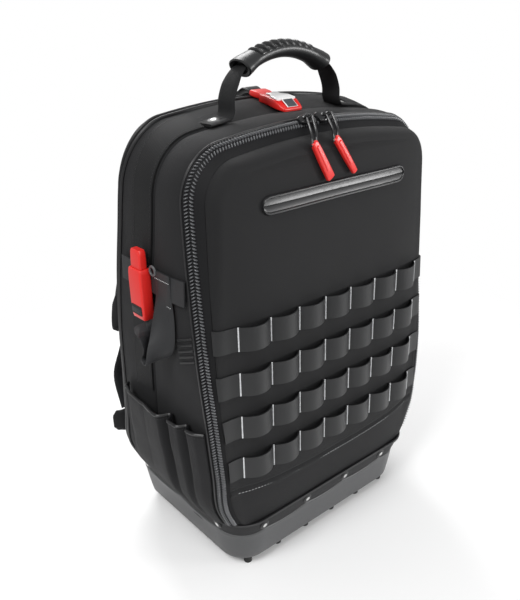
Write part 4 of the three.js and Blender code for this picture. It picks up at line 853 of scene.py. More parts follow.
class RepeatTree:
    """A Geometry Nodes tree that sets beads along paths or on points, standing out from the surface."""

    SIZES = ("Pitch", "Along", "Across", "Height", "Lift", "Slant", "Loose")

    def __init__(self, bead: Bead, along_path: bool, segments: int = 8) -> None:
        """Builds the tree.

        Args:
            bead: the shape that is repeated.
            along_path: whether the beads follow a path at a pitch, or stand on each point.
            segments: how many sides a bead has.
        """
        self.tree = bpy.data.node_groups.new(f"repeat_{bead.name.lower()}_{along_path}", "GeometryNodeTree")
        new = self.tree.interface.new_socket
        new("Geometry", in_out="INPUT", socket_type="NodeSocketGeometry")
        for size in self.SIZES:
            new(size, in_out="INPUT", socket_type="NodeSocketFloat")
        new("Finish", in_out="INPUT", socket_type="NodeSocketMaterial")
        new("Geometry", in_out="OUTPUT", socket_type="NodeSocketGeometry")
        given = self.tree.nodes.new("NodeGroupInput").outputs
        out = self._named("out")
        points = given["Geometry"]
        if along_path:
            curve = self._add("GeometryNodeMeshToCurve", {0: points})
            points = self._add("GeometryNodeResampleCurve", {"Curve": curve, "Length": given["Pitch"]},
                               mode="LENGTH")
            forward = self._add("GeometryNodeInputTangent")
        else:
            forward = self._named("forward")
        turn = self._add("FunctionNodeAxesToRotation", {0: out, 1: forward}, primary_axis="Z", secondary_axis="X")
        slant = self._add("ShaderNodeCombineXYZ", {2: given["Slant"]})
        turn = self._add("FunctionNodeRotateRotation", {0: turn, 1: slant}, rotation_space="LOCAL")
        shape = self._bead(bead, segments)
        if along_path:
            shake = self._add("FunctionNodeRandomValue", {2: -1.0, 3: 1.0, "Seed": 7}, output=1)
            shaken = self._add("ShaderNodeMath", {0: shake, 1: given["Loose"]}, operation="MULTIPLY")
            wide = self._add("ShaderNodeMath", {0: given["Across"], 1: shaken}, operation="MULTIPLY_ADD")
            self.tree.links.new(given["Across"], wide.node.inputs[2])
        else:
            wide = given["Across"]
        size = self._add("ShaderNodeCombineXYZ", {0: given["Along"], 1: wide, 2: given["Height"]})
        placed = self._add("GeometryNodeInstanceOnPoints",
                           {"Points": points, "Instance": shape, "Rotation": turn, "Scale": size})
        lift = self._add("ShaderNodeCombineXYZ", {2: given["Lift"]})
        placed = self._add("GeometryNodeTranslateInstances",
                           {"Instances": placed, "Translation": lift, "Local Space": True})
        real = self._add("GeometryNodeRealizeInstances", {0: placed})
        done = self._add("GeometryNodeSetMaterial", {"Geometry": real, "Material": given["Finish"]})
        self.tree.links.new(done, self.tree.nodes.new("NodeGroupOutput").inputs[0])

    def _add(self, kind: str, links: Optional[dict[Any, Any]] = None, output: int = 0,
             **settings: Any) -> bpy.types.NodeSocket:
        """Adds a node with its settings first and its links or values next, and returns one of its outputs."""
        made = self.tree.nodes.new(kind)
        for key, value in settings.items():
            setattr(made, key, value)
        for key, value in (links or {}).items():
            if isinstance(value, bpy.types.NodeSocket):
                self.tree.links.new(value, made.inputs[key])
            else:
                made.inputs[key].default_value = value
        return made.outputs[output]

    def _named(self, name: str) -> bpy.types.NodeSocket:
        """Returns a vector attribute of the points."""
        return self._add("GeometryNodeInputNamedAttribute", {"Name": name}, data_type="FLOAT_VECTOR")

    def _bead(self, bead: Bead, segments: int) -> bpy.types.NodeSocket:
        """Returns the bead, one unit across."""
        if bead is Bead.ROUND:
            return self._add(bead.value, {"Segments": segments, "Rings": max(4, segments // 2 + 1),
                                          "Radius": 0.5})
        return self._add(bead.value, {"Vertices": segments, "Side Segments": 1, "Radius": 0.5, "Depth": 1.0})


class Repeats:
    """Runs the repeat trees on paths and points."""

    _trees: dict[tuple[Bead, bool, int], RepeatTree] = {}

    @classmethod
    def _run(cls, name: str, places: bpy.types.Object, key: tuple[Bead, bool, int], finish: str,
             sizes: dict[str, float]) -> bpy.types.Object:
        """Runs a tree on an object of places and returns the plain mesh that it makes."""
        if key not in cls._trees:
            cls._trees[key] = RepeatTree(*key)
        tree = cls._trees[key].tree
        modifier = places.modifiers.new("repeat", "NODES")
        modifier.node_group = tree
        identifiers = {item.name: item.identifier for item in tree.interface.items_tree if item.in_out == "INPUT"}
        for size, value in sizes.items():
            modifier[identifiers[size]] = value
        modifier[identifiers["Finish"]] = Finishes.get(finish)
        bpy.context.view_layer.update()
        evaluated = places.evaluated_get(bpy.context.evaluated_depsgraph_get())
        mesh = bpy.data.meshes.new_from_object(evaluated)
        places.modifiers.remove(modifier)
        bpy.data.objects.remove(places)
        made = bpy.data.objects.new(name, mesh)
        mesh.name = name
        bpy.context.scene.collection.objects.link(made)
        return made

    @classmethod
    def along(cls, name: str, paths: Sequence[tuple[Points, Points]], finish: str, pitch: float,
              size: Sequence[float],
              lift: float = 0.0, slant: float = 0.0, loose: float = 0.0, segments: int = 6) -> bpy.types.Object:
        """Sets beads along paths.

        Args:
            name: the piece's name.
            paths: for each path its points and the direction out of the surface at each.
            finish: the beads' finish.
            pitch: the distance between beads.
            size: a bead's size along the path, across it and out of the surface.
            lift: how far the beads stand off the path.
            slant: how far each is turned about the direction out, in degrees.
            loose: how much the beads differ in width, as a share.
            segments: how many sides a bead has.

        Returns:
            The beads as one mesh, in metres.
        """
        points = np.concatenate([np.asarray(p, float) for p, _ in paths])
        outs = np.concatenate([np.asarray(o, float) + np.zeros_like(np.asarray(p, float)) for p, o in paths])
        edges, first = [], 0
        for p, _ in paths:
            edges += [(first + i, first + i + 1) for i in range(len(p) - 1)]
            first += len(p)
        mesh = bpy.data.meshes.new("path")
        mesh.from_pydata(metres(points).tolist(), edges, [])
        mesh.attributes.new("out", "FLOAT_VECTOR", "POINT").data.foreach_set("vector", outs.ravel())
        places = bpy.data.objects.new("path", mesh)
        bpy.context.scene.collection.objects.link(places)
        sizes = dict(zip(("Pitch", "Along", "Across", "Height", "Lift"),
                         (v / 1000 for v in (pitch, *size, lift))))
        return cls._run(name, places, (Bead.ROUND, True, segments), finish,
                        {**sizes, "Slant": math.radians(slant), "Loose": loose})

    @classmethod
    def on(cls, name: str, points: Points, outs: Points, finish: str, size: Sequence[float], lift: float = 0.0,
           bead: Bead = Bead.ROUND, forward: Sequence[float] = (0.0, 0.0, 1.0),
           segments: int = 16) -> bpy.types.Object:
        """Sets a bead on each of some points, standing out from the surface, and returns them as one mesh."""
        points = np.asarray(points, float)
        mesh = bpy.data.meshes.new("points")
        mesh.from_pydata(metres(points).tolist(), [], [])
        for label, values in (("out", outs), ("forward", forward)):
            full = np.asarray(values, float) + np.zeros_like(points)
            mesh.attributes.new(label, "FLOAT_VECTOR", "POINT").data.foreach_set("vector", full.ravel())
        places = bpy.data.objects.new("points", mesh)
        bpy.context.scene.collection.objects.link(places)
        sizes = dict(zip(("Along", "Across", "Height", "Lift"), (v / 1000 for v in (*size, lift))))
        return cls._run(name, places, (bead, False, segments), finish, sizes)


def beaded(name: str, paths: Sequence[tuple[Points, Points]], finish: str, pitch: float, size: Sequence[float],
           lift: float = 0.0, nodes: Iterable[str] = (), crease: float = 38.0, **more: float) -> None:
    """Sets beads along paths as Repeats.along does, and dresses them in the same finish.

    Args:
        name: the piece's name.
        paths: for each path its points and the direction out of the surface at each.
        finish: the beads' finish.
        pitch: the distance between beads.
        size: a bead's size along the path, across it and out of the surface.
        lift: how far the beads stand off the path.
        nodes: the CAD nodes that they stand for.
        crease: the angle, in degrees, past which an edge stays sharp.
        more: the slant, looseness and number of sides, as Repeats.along takes them.
    """
    dress(Repeats.along(name, paths, finish, pitch, size, lift, **more), finish, nodes, crease=crease)


# The moulded base
@dataclass
class Tub:
    """The moulded tub with its studs, the trim band over its edge and the rivets."""

    half: float = 142.7
    front: float = 4.8
    rear: float = 219.3
    front_round: float = 40.0
    rear_round: float = 32.0
    scallop: float = 5.0
    studs: tuple[int, int] = (6, 4)

    RIVETS = (-105.5, -40.5, 24.5, 89.5)

    def outline(self, grow: float, flare: float = 0.0, count: int = 360) -> Points:
        """Returns the outline from above, evenly spaced, starting at the middle of the back.

        Args:
            grow: how far it is moved out.
            flare: the share of the way from the tub's edge to the band's upper edge.
            count: how many points it has.

        Returns:
            Rows of x and y.
        """
        half, front = self.half + grow + 3.3 * flare, self.front - grow - 5.9 * flare
        rear = self.rear + grow + 0.9 * flare
        rf, rr = self.front_round + grow - 3 * flare, self.rear_round + grow
        turn = np.linspace(0, math.pi / 2, 24)
        corners = [(-half + rr, rear - rr, rr, math.pi / 2), (-half + rf, front + rf, rf, math.pi),
                   (half - rf, front + rf, rf, 1.5 * math.pi), (half - rr, rear - rr, rr, 2 * math.pi)]
        loop = [np.array([[0.0, rear]])]
        for x, y, r, start in corners:
            loop.append(np.stack([x + r * np.cos(start + turn), y + r * np.sin(start + turn)], axis=1))
        loop = np.concatenate([*loop, loop[0]])
        length = np.linalg.norm(np.diff(loop, axis=0, prepend=loop[:1]), axis=1).cumsum()
        even = np.linspace(0, length[-1], count, endpoint=False)
        return np.stack([np.interp(even, length, loop[:, i]) for i in range(2)], axis=1)

    def rivet_places(self) -> tuple[Points, Points, Points]:
        """Returns the rivets' places, outward directions and numbers along the outline."""
        loop = self.outline(0, 0.5)
        wanted = [(x, -10.0) for x in self.RIVETS]
        wanted += [(-160.0, MIDDLE_DEPTH + 73.5 * i) for i in (-1, 0, 1)]
        wanted += [(150.0, 13.0), (160.0, 13 + 73.5), (160.0, 13 + 147.0), (-65.0, 240.0), (65.0, 240.0)]
        index = np.array([int(np.argmin(np.hypot(loop[:, 0] - x, loop[:, 1] - y))) for x, y in wanted])
        along = np.roll(loop, -1, axis=0) - np.roll(loop, 1, axis=0)
        out = np.stack([-along[:, 1], along[:, 0], np.full(len(loop), -0.25 * np.hypot(*along.T))], axis=1)[index]
        if out[0, 1] > 0:
            out[:, :2] *= -1
        out /= np.linalg.norm(out, axis=1, keepdims=True)
        return np.column_stack([loop[index], np.full(len(index), 63.0)]), out, index

    def _sag(self, count: int) -> Points:
        """Returns how high the tub's edge stands along the outline: up at each rivet, sagging between them."""
        index = np.sort(self.rivet_places()[2])
        place = np.arange(count)
        ends = np.concatenate([[index[-1] - count], index, [index[0] + count]])
        i = np.searchsorted(ends, place, side="right") - 1
        share = (place - ends[i]) / (ends[i + 1] - ends[i])
        return self.scallop * np.abs(2 * share - 1) ** 2.6

    def build(self) -> None:
        """Makes the tub, its studs, the trim band and the rivets."""
        count = 360
        levels = [(10.0, 14.0), (10.3, 11.2), (11.6, 9.0), (14.0, 7.4), (18.0, 6.3), (30.0, 3.9), (42.0, 1.9),
                  (49.0, 0.8)]
        rings = [np.column_stack([self.outline(-inset), np.full(count, z)]) for z, inset in levels]
        edge = 51.5 + self._sag(count)
        flares = np.clip((edge - 53) / 20, -0.1, 1)
        flat = self.outline(0)
        raised = self.outline(0, 1.0)
        rim = flat + (raised - flat) * flares[:, None]
        inner = rim + (self.outline(-2.6) - flat)
        mid = rim + (self.outline(-1.2) - flat)
        rings += [np.column_stack([rim, edge - 1.6]),
                  np.column_stack([rim + (self.outline(-0.4) - flat), edge - 0.4]),
                  np.column_stack([mid, edge]), np.column_stack([inner, edge - 0.5]),
                  np.column_stack([inner, np.full(count, 46.0)])]
        dress(loft("tub_shell", np.array(rings)), "tub", ["base_tub"], crease=60)
        across, deep = self.studs
        grid = [((i - (across - 1) / 2) * 45.5, MIDDLE_DEPTH + (j - (deep - 1) / 2) * 58, 5.6)
                for i in range(across) for j in range(deep)]
        studs = Repeats.on("tub_studs", np.array(grid), (0, 0, 1), "rubber", (9.6, 9.6, 11.2), bead=Bead.ROD,
                           forward=(1, 0, 0), segments=24)
        soften = studs.modifiers.new("soft", "BEVEL")
        soften.width, soften.segments = 0.0011, 3
        soften.limit_method, soften.angle_limit = "ANGLE", math.radians(50)
        dress(studs, "rubber")
        self._band(count)

    def _band(self, count: int) -> None:
        """Makes the ribbed trim band, the cord along its top, and the rivets in their cups."""
        low, high = self.outline(-0.9), self.outline(-0.9, 1.0)
        grown_low, grown_high = self.outline(0.1), self.outline(0.1, 1.0)
        lines = [(-0.15, 0), (0.0, 0.2), (0.1, 0.9), (0.2, 0.3), (0.32, 1.0), (0.45, 0.35), (0.56, 1.0),
                 (0.68, 0.3), (0.78, 0.9), (0.86, 0.2), (0.9, 0.9), (0.95, 1.4), (1.0, 1.0), (1.02, 0.2),
                 (1.02, -1.2), (0.5, -1.4), (-0.15, -1.2)]
        rings = []
        for share, out in lines:
            flat = low + (high - low) * share
            grown = grown_low + (grown_high - grown_low) * share
            rings.append(np.column_stack([flat + (grown - flat) * out * 0.9,
                                          np.full(count, BAND_FOOT + 20 * share)]))
        dress(loft("trim_band", np.array(rings).swapaxes(0, 1), wrap=True), "trim_band", ["rim_band"], crease=70)
        cord = np.column_stack([self.outline(0.3, 1.0), np.full(count, BAND_TOP - 0.4)])
        dress(tube("trim_cord", cord, 1.5, closed=True), "cord")
        places, outs, _ = self.rivet_places()
        cups = Repeats.on("rivet_cups", places, outs, "cord", (12.4, 12.4, 2.6), 0.3)
        dress(cups, "cord")
        names = [f"rim_rivet_{i + 1:02d}" for i in range(12)]
        heads = Repeats.on("rivet_heads", places, outs, "rivet", (7.4, 7.4, 3.4), 1.2, segments=20)
        dress(heads, "rivet", names)


# The bag's cloth
class BagCloth:
    """The bag's walls, lid, rear compartment and their seams."""

    SEAM_START = 88.0

    def build(self) -> None:
        """Makes the cloth of the bag."""
        self._wall()
        self._lid()
        self._rear()
        self._seams()

    def _wall(self) -> None:
        """Makes the side and top wall, with a groove where the middle seam runs."""
        s = ARCH.stations(step=3.2)
        lay = np.concatenate([np.linspace(0, 0.9, 12),
                              1 + np.array([-0.05, -0.025, -0.012, 0, 0.012, 0.025, 0.05]),
                              np.linspace(1.12, 2, 12)])
        seamed = np.clip((np.maximum(np.abs(s.x) - self.SEAM_START, (470 - s.z) / 4)) / 6, 0, 1)
        outer, inner = [], []
        for along in lay:
            face = bag_face(s, along)
            ripple = 0.9 * wobble(face, 46, 0.4) + 0.35 * wobble(face, 17, 2.0)
            calm = min(1.0, abs(along - 1) * 3, along * 6 + 0.1, (2 - along) * 6 + 0.1)
            groove = -1.1 * np.exp(-((along - 1) / 0.016) ** 2) * seamed
            outer.append(bag_face(s, along, ripple * calm + groove))
            inner.append(bag_face(s, along, -CLOTH))
        wall = shell("bag_wall", np.stack(outer, axis=1), np.stack(inner, axis=1))
        dress(wall, "bag_cloth", ["bag_body"])

    def _lid(self) -> None:
        """Makes the lid: its rounded edge and its crowned face, grooved along the lower seam."""
        z = np.unique(np.concatenate([np.arange(45, 108, 3.5), np.arange(108, 134, 1.1),
                                      np.arange(134, 425, 4.5)]))
        right = ARCH.right_half(z)
        skins = []
        for wall in (0.0, CLOTH):
            grid = []
            for angle in np.radians(np.linspace(0, 90, 9)):
                turn = 1 - math.cos(angle)
                inset = -right.column("inset") - LID_TAPE - wall - (LID_ROUND - wall) * turn
                rise = np.full(len(right), -LID_TAPE - wall - (LID_ROUND - wall) * turn)
                face_x = right.x + right.nx * (-right.column("inset") - (LID_TAPE + LID_ROUND))
                near = right.column("zip") * 0.6 - 0.3
                far = face_depth(face_x) + np.maximum(right.column("setback"), 0) + wall
                grid.append(beside(right, inset, rise, near + (far - near) * math.sin(angle)))
            skins.append(cover(np.stack(grid), lambda x, z, wall=wall: on_lid(x, z)[..., 1] + wall))
        outer, inner = skins
        ripple = 0.45 * wobble(outer, 60, 1.1) + 0.2 * wobble(outer, 22, 3.0)
        seam = lid_seam(outer[..., 0])
        groove = 1.3 * np.exp(-((outer[..., 2] - seam) / 1.5) ** 2)
        swell = 0.7 * np.exp(-((outer[..., 2] - seam + 4) / 2.6) ** 2)
        front = np.abs(np.gradient(outer[..., 1], axis=0)) < 3
        outer[..., 1] -= (ripple - groove + swell) * front
        grid = np.concatenate([outer, inner[::-1]]).swapaxes(0, 1)
        dress(loft("lid", grid, caps=False), "lid_cloth", ["front_lid", "lid_edge"], crease=60)

    def _rear(self) -> None:
        """Makes the rear compartment's gusset with its two pipings and its zip."""
        s = ARCH.stations(foot=45, step=4.0)
        rows = [on_gusset(s, a, 0.3 * math.sin(math.pi * a)) for a in np.linspace(0, 1, 9)]
        inner = [on_gusset(s, a, -2.2) for a in np.linspace(0, 1, 9)]
        wall = shell("rear_wall", np.stack(rows, axis=1), np.stack(inner, axis=1))
        dress(wall, "bag_cloth", ["rear_gusset"])
        above = ARCH.stations(foot=BAND_TOP + 1, step=4.0)
        for label, along in (("front", 0.06), ("rear", 0.94)):
            dress(tube(f"rear_piping_{label}", on_gusset(above, along, 0.9), 2.0), "cord")
        tape = [on_gusset(above, a, 0.9) for a in (0.26, 0.74)] + [on_gusset(above, a, 0.2) for a in (0.74, 0.26)]
        dress(loft("rear_zip_tape", np.stack(tape, axis=1)), "zip_tape")
        line = on_gusset(above, 0.5, 0.0)
        beaded("rear_zip_teeth", [(line, above.out)], "coil", 1.7, (1.1, 4.2, 2.0), 1.1, nodes=["rear_zip"])

    def _seams(self) -> None:
        """Makes the piping beside the main zip and the stitching of the seams."""
        s = ARCH.stations(foot=BAND_TOP + 2, step=3.2)
        dress(tube("zip_piping", zip_line(s, 1.15, 0.2), 1.2), "welt")
        x = np.linspace(-141, 141, 90)
        stitch = on_lid(x, lid_seam(x) - 4.2, 0.75)
        beaded("lid_stitches", [(stitch, (0, -1, 0))], "grey_thread", 4.0, (2.7, 0.5, 0.4))


# Zips
class MainZip:
    """The coil zip round the lid, on its tape."""

    def build(self) -> None:
        """Makes the zip."""
        s = ARCH.stations(foot=BAND_TOP - 1, step=3.0)
        lines = [zip_line(s, a) for a in (-1.0, -0.7, -0.4, 0.0, 0.5, 1.0)]
        backs = [p + np.array([0, 1.2, 0]) - 0.6 * s.out for p in lines]
        dress(shell("zip_tape", np.stack(lines, axis=1), np.stack(backs, axis=1)), "zip_tape")
        teeth = ARCH.stations(foot=79, step=3.0)
        centre, inside, outside = zip_line(teeth, 0), zip_line(teeth, -0.4), zip_line(teeth, 0.5)
        across = outside - inside
        across /= np.linalg.norm(across, axis=1, keepdims=True)
        along = directions(centre)
        out = np.cross(along, across)
        if out[len(out) // 2, 2] < 0:
            out = -out
        rows = []
        for k, sign in enumerate((-1, 1)):
            line = centre + across * 2.7 * sign
            rows.append(Repeats.along(f"teeth_{k}", [(line, out)], "coil", 3.3, (1.85, 5.4, 3.8), 1.1,
                                      slant=24 * sign, segments=8))
        dress(join("zip_teeth", rows), "coil", ["main_zip"])


# Webbing on the lid
@dataclass
class Ladder:
    """The four rows of webbing on the lid, tacked down in seven loops, and the pocket zip above them."""

    rows: int = 4
    top: float = 302.3
    pitch: float = 49.4
    width: float = WEBBING
    tack_pitch: float = 38.0
    bulge: float = 9.0

    @property
    def tacks(self) -> Points:
        """The places across the lid where the rows are tacked down."""
        return (np.arange(8) - 3.5) * self.tack_pitch

    def _row(self, middle: float) -> tuple[Points, Points]:
        """Returns the inner and outer faces of one row, each as its upper and lower edges."""
        tacks = self.tacks
        x = np.linspace(tacks[0], tacks[-1], 7 * 16 + 1)
        phase = ((x - tacks[0]) / self.tack_pitch) % 1.0
        lift = self.bulge * np.clip(np.sin(math.pi * phase), 0, 1) ** 0.75
        faces = []
        for out in (0.5, 2.1):
            edges = []
            for z in middle + self.width * np.linspace(-0.5, 0.5, 5):
                angle = np.array([5.0, 20.0, 35.0, 50.0, 65.0, 80.0])
                left = lid_edge(LEFT, angle, z, out)
                right = lid_edge(RIGHT, angle, z, out)[::-1]
                edges.append(np.concatenate([left, on_lid(x, z, out + lift), right]))
            faces.append(np.stack(edges, axis=1))
        return faces[0], faces[1]

    def build(self) -> None:
        """Makes the rows, their tacks and the pocket zip."""
        tacks = []
        for i in range(self.rows):
            middle = self.top - i * self.pitch
            inner, outer = self._row(middle)
            dress(shell(f"ladder_row_{i + 1}", outer, inner), "webbing", [f"webbing_row_{i + 1}"], crease=60)
            for x in self.tacks:
                z = np.linspace(middle - 12.2, middle + 12.2, 14)
                tacks.append((on_lid(np.full(14, x + 0.8), z, 3.0), (-0.4, -1, 0)))
        beaded("ladder_tacks", tacks, "grey_thread", 1.3, (1.5, 1.9, 1.5), slant=12, loose=0.12)
        self._pocket_zip()

    def _pocket_zip(self) -> None:
        """Makes the closed pocket zip: a gloss slot between two raised welts."""
        half, round_end = 100.0, 9.5
        x = np.concatenate([-half + round_end * (1 - np.cos(np.linspace(0.15, math.pi / 2, 8))),
                            np.linspace(-half + round_end, half - round_end, 40)[1:-1],
                            half - round_end * (1 - np.cos(np.linspace(math.pi / 2, 0.15, 8)))])
        into = np.clip((half - np.abs(x)) / round_end, 0, 1)
        reach = round_end * np.sqrt(into * (2 - into))
        section = [(-1, 0, 0.3), (-1, 0.2, 1.8), (-1, 1.0, 2.9), (-1, 2.2, 2.9), (-1, 3.2, 1.5), (-0.3, 0, 1.3),
                   (-0.06, 0, 1.7), (0, 0, 1.1), (0.06, 0, 1.7), (0.3, 0, 1.3), (1, 3.2, 1.5), (1, 2.2, 2.9),
                   (1, 1.0, 2.9), (1, 0.2, 1.8), (1, 0, 0.3)]
        rings = [on_lid(x, 426 + side * np.maximum(reach - inset, 0.1), out) for side, inset, out in section]
        dress(loft("pocket_zip", np.stack(rings, axis=1)), "welt", ["front_pocket_zip"], crease=50)


# The carrying handle
@dataclass
class Handle:
    """The carrying handle: a ribbed moulded grip, two folded webbing legs and their rivets."""

    half: float = 53.0
    crown: float = 555.0
    sag: float = 15.0
    depth: float = 82.0
    grip: tuple[float, float] = (27.0, 17.0)
    leg: float = 26.0
    spread: float = 71.0
    tab_end: float = 100.0
    rivet: float = 87.0
    ribs_half: float = 33.0

    def _arc(self, x: Points) -> tuple[Points, Points, Points]:
        """Returns the grip's middle line at places across, with its directions along and up."""
        slope = np.arctan(-2 * self.sag * x / self.half ** 2)
        middle = np.stack([x, np.full_like(x, self.depth), self.crown - self.sag * (x / self.half) ** 2], axis=-1)
        along = np.stack([np.cos(slope), np.zeros_like(x), np.sin(slope)], axis=-1)
        up = np.stack([-np.sin(slope), np.zeros_like(x), np.cos(slope)], axis=-1)
        return middle, along, up

    def _grip(self) -> None:
        """Makes the grip: a smooth arch, recessed along its top, with a flared collar at each end."""
        inner = np.linspace(-50.5, 50.5, 75)
        x = np.concatenate([[-49.5, -53.4, -54.6, -53.6], inner, [53.6, 54.6, 53.4, 49.5]])
        size = np.concatenate([[0.72, 0.8, 1.06, 1.2], 1 + 0.16 * np.clip((np.abs(inner) - 37) / 12, 0, 1) ** 1.4,
                               [1.2, 1.06, 0.8, 0.72]])
        middle, _, up = self._arc(x)
        rings = []
        for i in range(len(x)):
            angle = np.linspace(0, 2 * math.pi, 40, endpoint=False)
            across, rise = np.cos(angle), np.sin(angle)
            dip = np.clip((rise - 0.3) / 0.12, 0, 1) * np.clip((self.ribs_half + 4 - abs(x[i])) / 2.5, 0, 1)
            lip = np.exp(-((rise - 0.24) / 0.1) ** 2) * np.clip((self.ribs_half + 7 - abs(x[i])) / 3, 0, 1)
            reach = self.grip[1] / 2 * size[i] - 2.7 * dip + 0.5 * lip
            wide = self.grip[0] / 2 * size[i] - 1.2 * dip + 0.5 * lip
            level = (across * wide)[:, None] * np.array([0, 1, 0])
            rings.append(middle[i] + level + (rise * reach)[:, None] * up[i])
        dress(loft("grip_body", np.array(rings)), "grip_plastic", ["handle_grip"], crease=50)
        place, _, up = self._arc(np.linspace(-self.ribs_half, self.ribs_half, 60))
        beaded("grip_ribs", [(place + up * 2.2, up)], "grip_plastic", 8.2, (4.9, 25.2, 14.6), segments=16,
               crease=80)

    def _legs(self) -> None:
        """Makes the two legs with their tabs, stitches and rivets."""
        slope = math.atan(2 * self.sag / self.half)
        end = self.crown - self.sag
        stitches, heads = [], []
        for label, side in SIDES.items():
            foot = on_bag(ARCH.top_at(side * self.spread), self.depth, 0.4)[0, 2]
            drop = end - foot
            stops = [(self.half + math.cos(slope) * d - math.sin(slope) * 1.5,
                      end - math.sin(slope) * d - math.cos(slope) * 1.5)
                     for d in (-3, 5.6)]
            stops += [(63.0, end - 0.24 * drop), (67.5, end - 0.42 * drop), (70.6, end - 0.62 * drop),
                      (71.2, foot + 0.16 * drop)]
            tab = [on_bag(ARCH.top_at(side * x), self.depth, lift)[0] for x,
                   lift in ((75, 1.6), (81, 0.6), (self.tab_end, 0.5))]
            path = np.concatenate([[(side * x, self.depth, z) for x, z in stops], tab])
            path = smooth_path(path, 44)
            width = np.interp(np.linspace(0, 1, 44), [0, 0.12, 0.3, 1], [18.5, 20.5, self.leg, self.leg])
            made = strap(f"leg_{label}", path, (0, -side, 0), width, 3.0)
            dress(made, "leg_webbing", [f"handle_leg_{label}"])
            for inset in (2.6, -2.6):
                x = np.linspace(77, self.tab_end - 2, 12)
                depth = self.depth + math.copysign(self.leg / 2, inset) - inset
                line = on_bag(ARCH.top_at(side * x), depth, 3.9)
                stitches.append((line, (0, 0, 1)))
            across = np.linspace(self.depth - 10, self.depth + 10, 10)
            for x in (self.tab_end - 2, 79):
                line = np.concatenate([on_bag(ARCH.top_at(side * x), d, 3.9) for d in across])
                stitches.append((line, (0, 0, 1)))
            heads.append(on_bag(ARCH.top_at(side * self.rivet), self.depth, 3.5)[0])
        beaded("tab_stitches", stitches, "thread", 2.6, (1.8, 0.7, 0.6))
        outs = np.array([(side * 0.12, -0.1, 1.0) for side in SIDES.values()])
        outs /= np.linalg.norm(outs, axis=1, keepdims=True)
        dress(Repeats.on("tab_cups", np.array(heads), outs, "cord", (14.5, 14.5, 2.2), 0.4), "cord")
        names = [f"handle_rivet_{label}" for label in SIDES]
        made = Repeats.on("tab_rivets", np.array(heads), outs, "rivet", (9.4, 9.4, 3.6), 0.9, segments=24)
        dress(made, "rivet", names)

    def build(self) -> None:
        """Makes the handle."""
        self._grip()
        self._legs()


# The buckles
@dataclass
class TopBuckle:
    """The red buckle on the bag's top, with its rear half, its webbing, and a pale plate and rim that are painted
    highlight where its red top shines.
    """

    front: float = 65.0
    foot: float = 495.0
    tilt: float = math.radians(10.6)

    def build(self) -> None:
        """Makes the buckle."""
        along = (0, math.cos(self.tilt), math.sin(self.tilt))
        place = frame_placer((0, self.front, self.foot), (1, 0, 0), along)
        body = bar("buckle_body", [
            (0.0, 11.4, 0.2, 2.6, 1.0), (0.6, 12.6, 0.0, 3.4, 1.3), (4.0, 13.8, 0.0, 5.0, 1.6),
            (11.0, 15.0, 0.0, 8.3, 2.0), (13.5, 15.0, 0.0, 9.0, 2.2), (22.0, 14.2, 0.0, 9.0, 2.2),
            (27.0, 12.6, 0.0, 8.8, 2.2), (33.0, 13.4, 0.0, 8.6, 2.2), (38.6, 13.6, 0.0, 8.4, 2.2),
            (39.8, 12.6, 0.6, 7.6, 1.8)], place)
        dress(body, "red", ["top_buckle"], crease=32)
        # Painted highlight: this pale plate stands for the white shine on the red buckle's upper face.
        plate = bar("buckle_plate", [
            (11.6, 11.0, 8.5, 9.8, 0.4), (12.6, 13.0, 8.5, 10.5, 0.7), (22.0, 12.8, 8.6, 10.8, 0.8),
            (26.0, 10.6, 8.5, 10.7, 0.8), (29.0, 7.0, 8.4, 10.6, 0.8), (34.5, 8.2, 8.2, 10.4, 0.8),
            (36.0, 7.4, 8.3, 9.8, 0.5)], place)
        dress(plate, "painted_highlight_white", ["top_buckle_plate"], crease=40)
        slope = [(1.2, 4.1), (3.8, 5.6), (7.4, 7.2), (11.2, 9.2)]
        # Painted highlight: the pale rim round the grey patch carries the same white shine as the plate.
        rim = strap("buckle_patch_highlight_rim", place(np.array([(0, y, z) for y, z in slope])), (1, 0, 0), 14.6, 0.7)
        dress(rim, "painted_highlight_white")
        patch = strap("buckle_patch", place(np.array([(0, y, z + 0.35) for y, z in slope[:-1] + [(10.4, 8.8)]])),
                      (1, 0, 0), 12.6, 0.8)
        dress(patch, "grey_patch", ["top_strap_front"])
        rear = bar("buckle_rear", [
            (40.3, 7.4, 1.6, 6.6, 1.4), (41.5, 8.6, 1.5, 7.6, 1.8), (48.0, 10.4, 1.5, 8.3, 2.0),
            (56.0, 10.8, 1.5, 8.2, 2.0), (59.6, 9.8, 1.8, 7.4, 1.8), (60.4, 8.8, 2.4, 6.4, 1.4)], place)
        dress(rear, "red", ["top_buckle_insert"], crease=32)
        stops = [(0, 122.4, 507.6), (0, 127.5, 511.8), (0, 134.0, 513.6), (0, 141.5, 510.2), (0, 149.0, 505.6),
                 (0, 153.2, 501.9)]
        made = strap("buckle_webbing", smooth_path(np.array(stops), 26), (1, 0, 0), 20.0, 1.6)
        dress(made, "cord", ["top_strap_rear"])
        loop = [(0, 124.0, 506.0), (0, 129.0, 503.6), (0, 135.5, 503.8), (0, 137.5, 506.8), (0, 132.5, 509.0),
                (0, 126.0, 508.2)]
        dress(strap("buckle_webbing_fold", smooth_path(np.array(loop), 24), (1, 0, 0), 18.0, 1.4), "cord")


